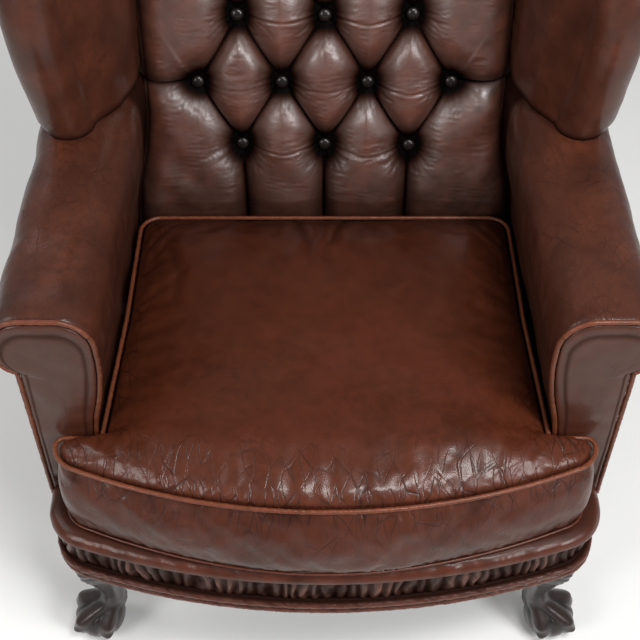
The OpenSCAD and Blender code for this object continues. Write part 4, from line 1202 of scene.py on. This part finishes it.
def make_wing(side, sign):
    n = 130
    top = mix(WING_LOW, WING_TOP, 0.985)
    drop = [(12 * (1 - cos(radians(a))), 12 * sin(radians(a))) for a in steps(0, 84, 8)]
    levels = [(z, 0.0) for z in steps(WING_LOW, top - 12, 120)]
    levels += [(top - 12 + up, -inset) for inset, up in drop[1:]]
    loops = [join(wing_section(z, o, n), np.full(n, z)) for z, o in levels]

    def place(u, v):
        i, j = whole(u) % n, whole(v)
        return mirrored(np.array([loops[b][a] for a, b in zip(i, j)]), sign)

    obj = woven(f"{side}_wing", [(np.arange(n + 1), np.arange(len(levels)), place)], fill=True)
    p, nrm = points(obj), normals(obj)
    x, y, z = np.abs(p[:, 0]), p[:, 1], p[:, 2]
    depth = lean_y(z, 0) - y
    free = soft(depth / 26) * soft((z - WING_LOW) / 26)
    k = sizes().wrinkle / MM
    move = k * 0.9 * ripple(p, 130, 65) + k * 0.12 * ripple(p, 50, 66)
    fan = ripple(join(x * 0.9, z * 0.16), 15, 67)
    move += 1.1 * fan * bell(z - WING_LOW - 6, 22)
    inner = (nrm[:, 0] * sign < 0) * 1.0
    tucked = ripple(join(z, depth * 0.15), 20, 68)
    move += 0.8 * tucked * bell(depth - 22, 20) * inner
    set_points(obj, p + nrm * (move * free)[:, None])
    # Painted shade on the inner face near the back and at the wing's foot on the arm
    at_foot = 0.8 * bell(z - WING_LOW, 9)
    set_values(obj, "shade", clip01(0.85 * bell(depth, 16) * inner + at_foot))
    set_values(obj, "wear", clip01((0.3 + 0.3 * ripple(p, 80, 69)) * soft((-nrm[:, 1] + 0.2) / 0.6)))
    set_values(obj, "crease", clip01(0.25 * ripple(p, 90, 70)))
    finish(obj, mat("arm_leather"), "chair", "arm_leather", f"{side}_wing_cover", f"{side}_wing_padding")


def make_back_piping():
    pr = sizes().piping_r / MM
    x = WING_IN_X + WING_T + pr
    line = np.array([(x, lean_y(z, -PANEL_GAP), z) for z in steps(ARM_TOP + 12, WING_TOP - 34, 200)])
    obj = tube("back_piping_cord", [line, mirrored(line, -1)], pr, 10)
    finish(obj, mat("piping_leather"), "chair", "piping_leather", "back_piping")


def make_border_roll():
    """The padded roll under the cushion's front, gathered a little where it meets the strip."""
    line = seat_line(ARM_FRONT_Y - 6.6)
    low, high = RAIL_LOW + TRIM_H, DECK_Z - 150 * tan(DECK_SLOPE)
    shape = [(-12.0, high), (-4, high), (2, high - 0.4), (9, high - 2.6), (13.5, high - 6.5),
             (16.4, high - 12), (17, high - 17), (16.5, low + 6.5), (14.4, low + 2.6), (10.5, low + 0.6),
             (0.4, low), (0.4, RAIL_TOP + 1.5), (-12, RAIL_TOP + 1.5)]
    curve = even(shape, 40)

    def place(u, v):
        i = whole(v) % 40
        o, z = curve[i, 0], curve[i, 1]
        out = soft((o - 6) / 6)
        s = join(u, z * 0.5)
        fold = (ripple(s, 40, 71) * 0.7 + ripple(s, 12, 72) * 0.2) * soft((z - low - 4) / 12)
        q = line.at(u, o + out * fold)
        # Painted shade where the roll meets the strip and where it tucks under the cushion; the outer face
        # is lighter
        shade = 0.75 * bell(z - low, 3.5) + 0.35 * soft((z - high + 6) / 6)
        return join(q, z), clip01(shade), clip01(out * (0.35 + 0.25 * ripple(s, 50, 73)))

    cols = steps(0, line.length, int(line.length / 2.6))
    obj = woven("front_border_roll", [(cols, np.arange(41), place)], fill=True)
    finish(obj, mat("seat_leather"), "chair", "seat_leather", "border_roll")


def make_strip():
    """A strip gathered into upright folds of uneven width."""
    line = seat_line(REAR_Y - 2.8)
    low, high = RAIL_LOW + 22.6, RAIL_LOW + TRIM_H - 0.3
    pitch = sizes().fold_w / MM

    def place(u, v):
        z = np.interp(v, [0, 1, 16, 17], [low, low, high, high])
        t = clip01((z - low) / (high - low))
        wander = 5.0 * np.sin(u / 47.0 + 0.8 * np.sin(u / 17.0))
        wander = wander + 3.0 * ripple(join(u, z * 0.8), 64, 75)
        phase = (u + wander) / pitch * pi
        fold = 1 - np.abs(np.sin(phase)) ** 0.75
        sharp = 0.5 + 0.5 * np.cos(2 * phase)
        tall = 0.75 + 0.25 * np.sin((u + wander) / pitch * 0.9 + 1.1)
        belly = np.sin(pi * mix(0.12, 0.88, t)) ** 0.7
        o = 2.0 + 11.5 * mix(0.25, 1, belly) * mix(sharp, 1 - fold, 0.3) * tall
        o += 0.5 * ripple(join(u, z * 0.4), 11, 76)
        o = np.where((v < 0.5) | (v > 16.5), 0.4, o)
        q = line.at(u, np.clip(o, 0.4, 14.5))
        # Painted shade between the folds and painted highlight on their crests
        return join(q, z), clip01(1.35 - o / 6.5), clip01((o - 8.0) / 3.5)

    cols = steps(0, line.length, int(line.length / pitch * 12))
    rows = np.concatenate([[0], steps(1, 16, 15), [17, 0]])
    obj = woven("gathered_strip", [(cols, rows, place)], fill=True)
    finish(obj, mat("ruched_leather"), "chair", "ruched_leather", "ruched_strip")


def make_base_piping():
    """Two leather-covered beads under the strip."""
    line = seat_line(REAR_Y - 2.8)
    r = 5.5
    sets = []
    for k in (0, 1):
        zc = RAIL_LOW + r + k * (2 * r + 0.3)

        def place(u, v, zc=zc, k=k):
            a = radians(1) * v
            w = ripple(join(u + 14 * np.sin(a), np.full(len(u), 40.0 * k)), 13, 78 + k)
            g = ripple(join(u, 3 * np.cos(a), 3 * np.sin(a)), 5.5, 80 + k)
            rr = r * (1 + 0.045 * w + 0.03 * g) - 0.25
            o = 11.5 + rr * np.cos(a)
            q = line.at(u, o)
            # Painted shade on the side of each bead that turns in to the flange
            shade = clip01(0.9 - 0.9 * np.cos(a) + 0.3 * np.abs(w)) * 0.8
            return join(q, zc + rr * np.sin(a)), shade, clip01(np.cos(a) * (0.6 + 0.4 * w))

        sets.append((steps(0, line.length, int(line.length / 2.2)), steps(0, 360, 18), place))
    flange = np.array([(0.4, RAIL_LOW + 1), (8, RAIL_LOW + 1), (8, RAIL_LOW + 21), (0.4, RAIL_LOW + 21)])

    def strip(u, v):
        i = whole(v) % 4
        q = line.at(u, flange[i, 0])
        # The flange behind the beads is painted in full shade
        return join(q, flange[i, 1]), np.ones(len(u)), np.zeros(len(u))

    sets.append((steps(0, line.length, 300), np.arange(5), strip))
    obj = woven("double_piping", sets, fill=True)
    finish(obj, mat("bead_leather"), "chair", "piping_leather", "base_piping")


# Legs
# The front leg's share of its height, and its step outwards and half width as shares of the ball
LEG_ROWS = [
    (0, 0.8, 0.6), (0.045, 0.8, 0.84), (0.1, 0.8, 0.99), (0.17, 0.76, 1), (0.23, 0.62, 0.86),
    (0.28, 0.42, 0.62), (0.33, 0.2, 0.46), (0.4, 0.06, 0.41), (0.5, 0.05, 0.46), (0.62, 0.16, 0.62),
    (0.74, 0.26, 0.82), (0.84, 0.24, 0.9), (0.93, 0.12, 0.84), (1, 0, 0.72),
]
# Directions of the claws, in degrees
CLAWS = [-40.0, -112.0, 32.0, 140.0]


def squared(a, k):
    """Radius at angle a of a round-cornered square of half width 1."""
    return (np.abs(np.cos(a)) ** k + np.abs(np.sin(a)) ** k) ** (-1 / k)


def make_front_leg(side, sign):
    """A short cabriole leg with a carved knee, ending in a claw over a ball."""
    r = sizes().ball_r / MM
    cx, cy = CORNER_X + 6, CORNER_Y - 6

    def place(u, v):
        t = clip01(v)
        a = radians(1) * u
        step, half = table(t, LEG_ROWS, 1) * r, table(t, LEG_ROWS, 2) * r
        half = np.where(v > 1, 26.0, half)
        step = np.where(v > 1, 0.0, step)
        k = np.where(v > 1, 8.0, mix(2.0, 4.0, t))
        rad = half * squared(a, k)
        z = np.where(v > 1, RAIL_LOW + (v - 1) * (RAIL_TOP - RAIL_LOW), 4 + t * (RAIL_LOW - 4))
        foot = soft((0.36 - t) / 0.1)
        ridge, web = np.zeros(len(u)), np.zeros(len(u))
        for c in CLAWS:
            d = (u - c + 180) % 360 - 180
            wide = np.interp(t, [0, 0.05, 0.15, 0.24, 0.34], [5, 9, 13, 17, 26])
            joints = 0.55 * bell(t - 0.125, 0.018) + 0.45 * bell(t - 0.205, 0.022)
            tip = soft((t - 0.01) / 0.04)
            ridge = np.maximum(ridge, bell(d, wide) * (1 + joints) * tip)
            web = np.maximum(web, bell(np.abs(d) - 1.7 * wide, 0.5 * wide))
        rad = rad + foot * (5.4 * ridge - 1.6 * web * (t > 0.02))
        ball = foot * (1 - clip01(ridge))
        knee = bell(t - 0.8, 0.13) * (v <= 1)
        front = (u + 40 + 180) % 360 - 180
        leaf = bell(front, 62)
        vein = bell(front, 5) + bell(np.abs(front) - 26 * (t - 0.62) / 0.2 - 8, 4.5)
        lobes = np.sin((t - 0.6) * 95 - np.abs(front) * 0.09)
        rad = rad + knee * leaf * (2.2 * lobes * 0.5 + 1.6 - 2.4 * vein * 0.6)
        ox, oy = 1.08 * step, -0.02 * step
        p = join(cx + ox + rad * np.cos(a), cy + oy + rad * np.sin(a), z)
        # Painted shade in the webs between the claws and in the knee's carving
        shade = clip01(foot * web * 0.9 + knee * leaf * clip01(0.5 - 0.5 * lobes + vein) * 0.8)
        wear = clip01(foot * ridge * 0.35 + knee * leaf * clip01(lobes) * 0.5 + 0.12 * ball)
        return mirrored(p, sign), shade, wear

    rows_v = np.concatenate([steps(0, 0.36, 60), steps(0.36, 1, 90)[1:], [1.0005, 2.0]])
    obj = woven(f"{side}_front_claw_leg", [(steps(0, 360, 150), rows_v, place)], fill=True)
    finish(obj, mat("leg_wood"), "chair", "leg_wood", f"{side}_front_leg")


def make_rear_leg(side, sign):
    """A raked, tapered leg with rounded corners."""
    w = 23.0
    cx = RAIL_X - 30 - w
    cy = REAR_Y - 35 - w

    def place(u, v):
        z = np.interp(v, [0, 1, 2], [4, RAIL_LOW, RAIL_TOP])
        t = clip01(v)
        half = np.interp(t, [0, 0.49, 1], [w * 0.74, w * 0.88, w]) - 2.0 * bell(v, 0.01)
        rake = 92 * np.interp(t, [0, 0.25, 0.5, 0.75, 1], [1, 0.69, 0.42, 0.19, 0])
        a = radians(1) * u
        rad = half * squared(a, 9.0)
        p = join(cx + rad * np.cos(a), cy + rake + rad * np.sin(a), z)
        # Painted shade at the foot, where the leg meets the floor; the corners are lighter where rubbed
        return mirrored(p, sign), 0.5 * bell(t, 0.03), 0.4 * bell((u % 90) - 45, 5)

    rows = np.concatenate([[0, 0.01], steps(0.01, 1, 40)[1:], [2]])
    obj = woven(f"{side}_rear_raked_leg", [(steps(0, 360, 64), rows, place)], fill=True)
    finish(obj, mat("leg_wood"), "chair", "leg_wood", f"{side}_rear_leg")


# CAD nodes that stay as they are
KEPT = {
    "frame_wood": ["front_rail", "back_rail", "left_side_rail", "right_side_rail", "corner_blocks",
                   "left_back_post", "right_back_post", "crest_rail", "lumbar_rail",
                   "left_arm_post", "right_arm_post", "left_arm_rail", "right_arm_rail",
                   "left_wing_frame", "right_wing_frame"],
    "screw_steel": ["corner_screws", "spring_clips", "foot_glides"],
    "spring_steel": ["seat_springs"],
    "burlap": ["burlap"],
    "deck_cloth": ["deck_cover"],
    "dust_cloth": ["dust_cover"],
    "padding": ["deck_padding"],
    "webbing": ["back_webbing"],
    "twine": ["button_twine"],
    "toggle": ["button_toggles"],
    "zip_brass": ["cushion_zip", "zip_slider"],
    "arm_leather": ["outer_back_panel"],
}


def paint_kept():
    for name, nodes in KEPT.items():
        for node in nodes:
            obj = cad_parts[node]
            obj.data.materials.clear()
            obj.data.materials.append(mat(name))


# Stage
def lamp(name, place, aim, size, power, tint=(1, 1, 1)):
    data = bpy.data.lights.new(name, "AREA")
    data.shape = "RECTANGLE"
    data.size, data.size_y = size
    data.energy = power
    data.color = tint
    obj = bpy.data.objects.new(name, data)
    bpy.context.scene.collection.objects.link(obj)
    obj.location = place
    obj.rotation_euler = (Vector(aim) - Vector(place)).to_track_quat("-Z", "Y").to_euler()


def make_stage():
    scene = bpy.context.scene
    pale = tuple(colours().floor)
    bm = bmesh.new()
    bmesh.ops.create_grid(bm, x_segments=8, y_segments=8, size=6)
    floor = from_bmesh("floor", bm)
    s = Shader("pale_floor")
    s.set(Base_Color=s.mix(s.ramp(s.noise(3, 3), 0.3, 0.7), times(pale, 0.985), pale), Roughness=0.85)
    floor.data.materials.append(s.mat)
    world = bpy.data.worlds.new("studio")
    scene.world = world
    world.use_nodes = True
    tree = world.node_tree
    back = next(n for n in tree.nodes if n.type == "BACKGROUND")
    back.inputs["Strength"].default_value = 0.32
    back.inputs["Color"].default_value = (0.97, 0.98, 1.0, 1.0)
    lamp("window", (1.9, -1.9, 1.9), (0, -0.05, 0.6), (0.8, 1.1), 52, (0.985, 0.99, 1.0))
    lamp("fill", (-1.8, -1.9, 1.7), (0, -0.05, 0.65), (0.8, 1.1), 32, (1.0, 0.99, 0.97))
    lamp("side", (-2.2, 0.1, 2.2), (0, -0.05, 0.6), (1.0, 1.4), 20, (1.0, 0.985, 0.96))
    lamp("overhead", (0.62, -1.0, 2.4), (0.15, -0.35, 0.5), (0.85, 0.42), 40, (1.0, 0.99, 0.97))
    lamp("rear", (-0.6, 2.6, 1.6), (0, 0, 0.7), (1.6, 1.2), 16)
    data = bpy.data.cameras.new("photo_camera")
    data.sensor_width = 36
    data.lens = 65
    data.clip_start = 0.01
    camera = bpy.data.objects.new("photo_camera", data)
    scene.collection.objects.link(camera)
    camera.location = (-0.007, -1.153, 1.65)
    camera.rotation_euler = (radians(42), 0, 0)
    scene.camera = camera
    scene.view_settings.view_transform = "Standard"


# Operators
class PieceOperator:
    """Runs the functions in pairs once for each side, then those in makes."""

    bl_options = {"REGISTER", "UNDO"}
    pairs = makes = ()

    def execute(self, context):
        for side, sign in (("left", -1), ("right", 1)):
            for make in self.pairs:
                make(side, sign)
        for make in self.makes:
            make()
        return {"FINISHED"}


class CHAIR_OT_cushion(PieceOperator, Operator):
    """Build the loose seat cushion and the cord round its top"""

    bl_idname = "chair.cushion"
    bl_label = "Seat Cushion"
    makes = (make_cushion, make_cushion_cord)


class CHAIR_OT_back(PieceOperator, Operator):
    """Build the deep-buttoned back and its buttons"""

    bl_idname = "chair.back"
    bl_label = "Tufted Back"
    makes = (make_back, make_buttons)


class CHAIR_OT_arms(PieceOperator, Operator):
    """Build the rolled arms, their front facings and piping"""

    bl_idname = "chair.arms"
    bl_label = "Arms"
    pairs = (make_arm, make_arm_front)
    makes = (make_arm_piping,)


class CHAIR_OT_wings(PieceOperator, Operator):
    """Build the wings and the piping behind them"""

    bl_idname = "chair.wings"
    bl_label = "Wings"
    pairs = (make_wing,)
    makes = (make_back_piping,)


class CHAIR_OT_trim(PieceOperator, Operator):
    """Build the padded front roll, the gathered strip and the double piping"""

    bl_idname = "chair.trim"
    bl_label = "Base Trim"
    makes = (make_border_roll, make_strip, make_base_piping)


class CHAIR_OT_legs(PieceOperator, Operator):
    """Build the carved front legs and the raked rear legs"""

    bl_idname = "chair.legs"
    bl_label = "Legs"
    pairs = (make_front_leg, make_rear_leg)


class CHAIR_OT_frame(PieceOperator, Operator):
    """Give the frame, springs, cloths, zip, glides and outside back their finishes"""

    bl_idname = "chair.frame_finish"
    bl_label = "Frame Finishes"
    makes = (paint_kept,)


class CHAIR_OT_stage(PieceOperator, Operator):
    """Set the floor, the lamps and the camera"""

    bl_idname = "chair.stage"
    bl_label = "Stage"
    makes = (make_stage,)


class CHAIR_PT_panel(Panel):
    """Sizes, colours and pieces of the chair"""

    bl_label = "Wingback Chair"
    bl_idname = "CHAIR_PT_panel"
    bl_space_type = "VIEW_3D"
    bl_region_type = "UI"
    bl_category = "Chair"

    def draw(self, context):
        for group in (context.scene.chair_sizes, context.scene.chair_colours):
            box = self.layout.box()
            for name in group.__annotations__:
                box.prop(group, name)
        for cls in OPERATORS:
            self.layout.operator(cls.bl_idname)


OPERATORS = (CHAIR_OT_cushion, CHAIR_OT_back, CHAIR_OT_arms, CHAIR_OT_wings, CHAIR_OT_trim, CHAIR_OT_legs,
             CHAIR_OT_frame, CHAIR_OT_stage)
CLASSES = (ChairSizes, ChairColours, *OPERATORS, CHAIR_PT_panel)


def register():
    for cls in CLASSES:
        bpy.utils.register_class(cls)
    bpy.types.Scene.chair_sizes = PointerProperty(type=ChairSizes)
    bpy.types.Scene.chair_colours = PointerProperty(type=ChairColours)


def unregister():
    del bpy.types.Scene.chair_colours
    del bpy.types.Scene.chair_sizes
    for cls in reversed(CLASSES):
        bpy.utils.unregister_class(cls)


def main():
    register()
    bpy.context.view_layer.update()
    bpy.ops.chair.cushion()
    bpy.ops.chair.back()
    bpy.ops.chair.arms()
    bpy.ops.chair.wings()
    bpy.ops.chair.trim()
    bpy.ops.chair.legs()
    bpy.ops.chair.frame_finish()
    bpy.ops.chair.stage()


if __name__ == "__main__":
    main()
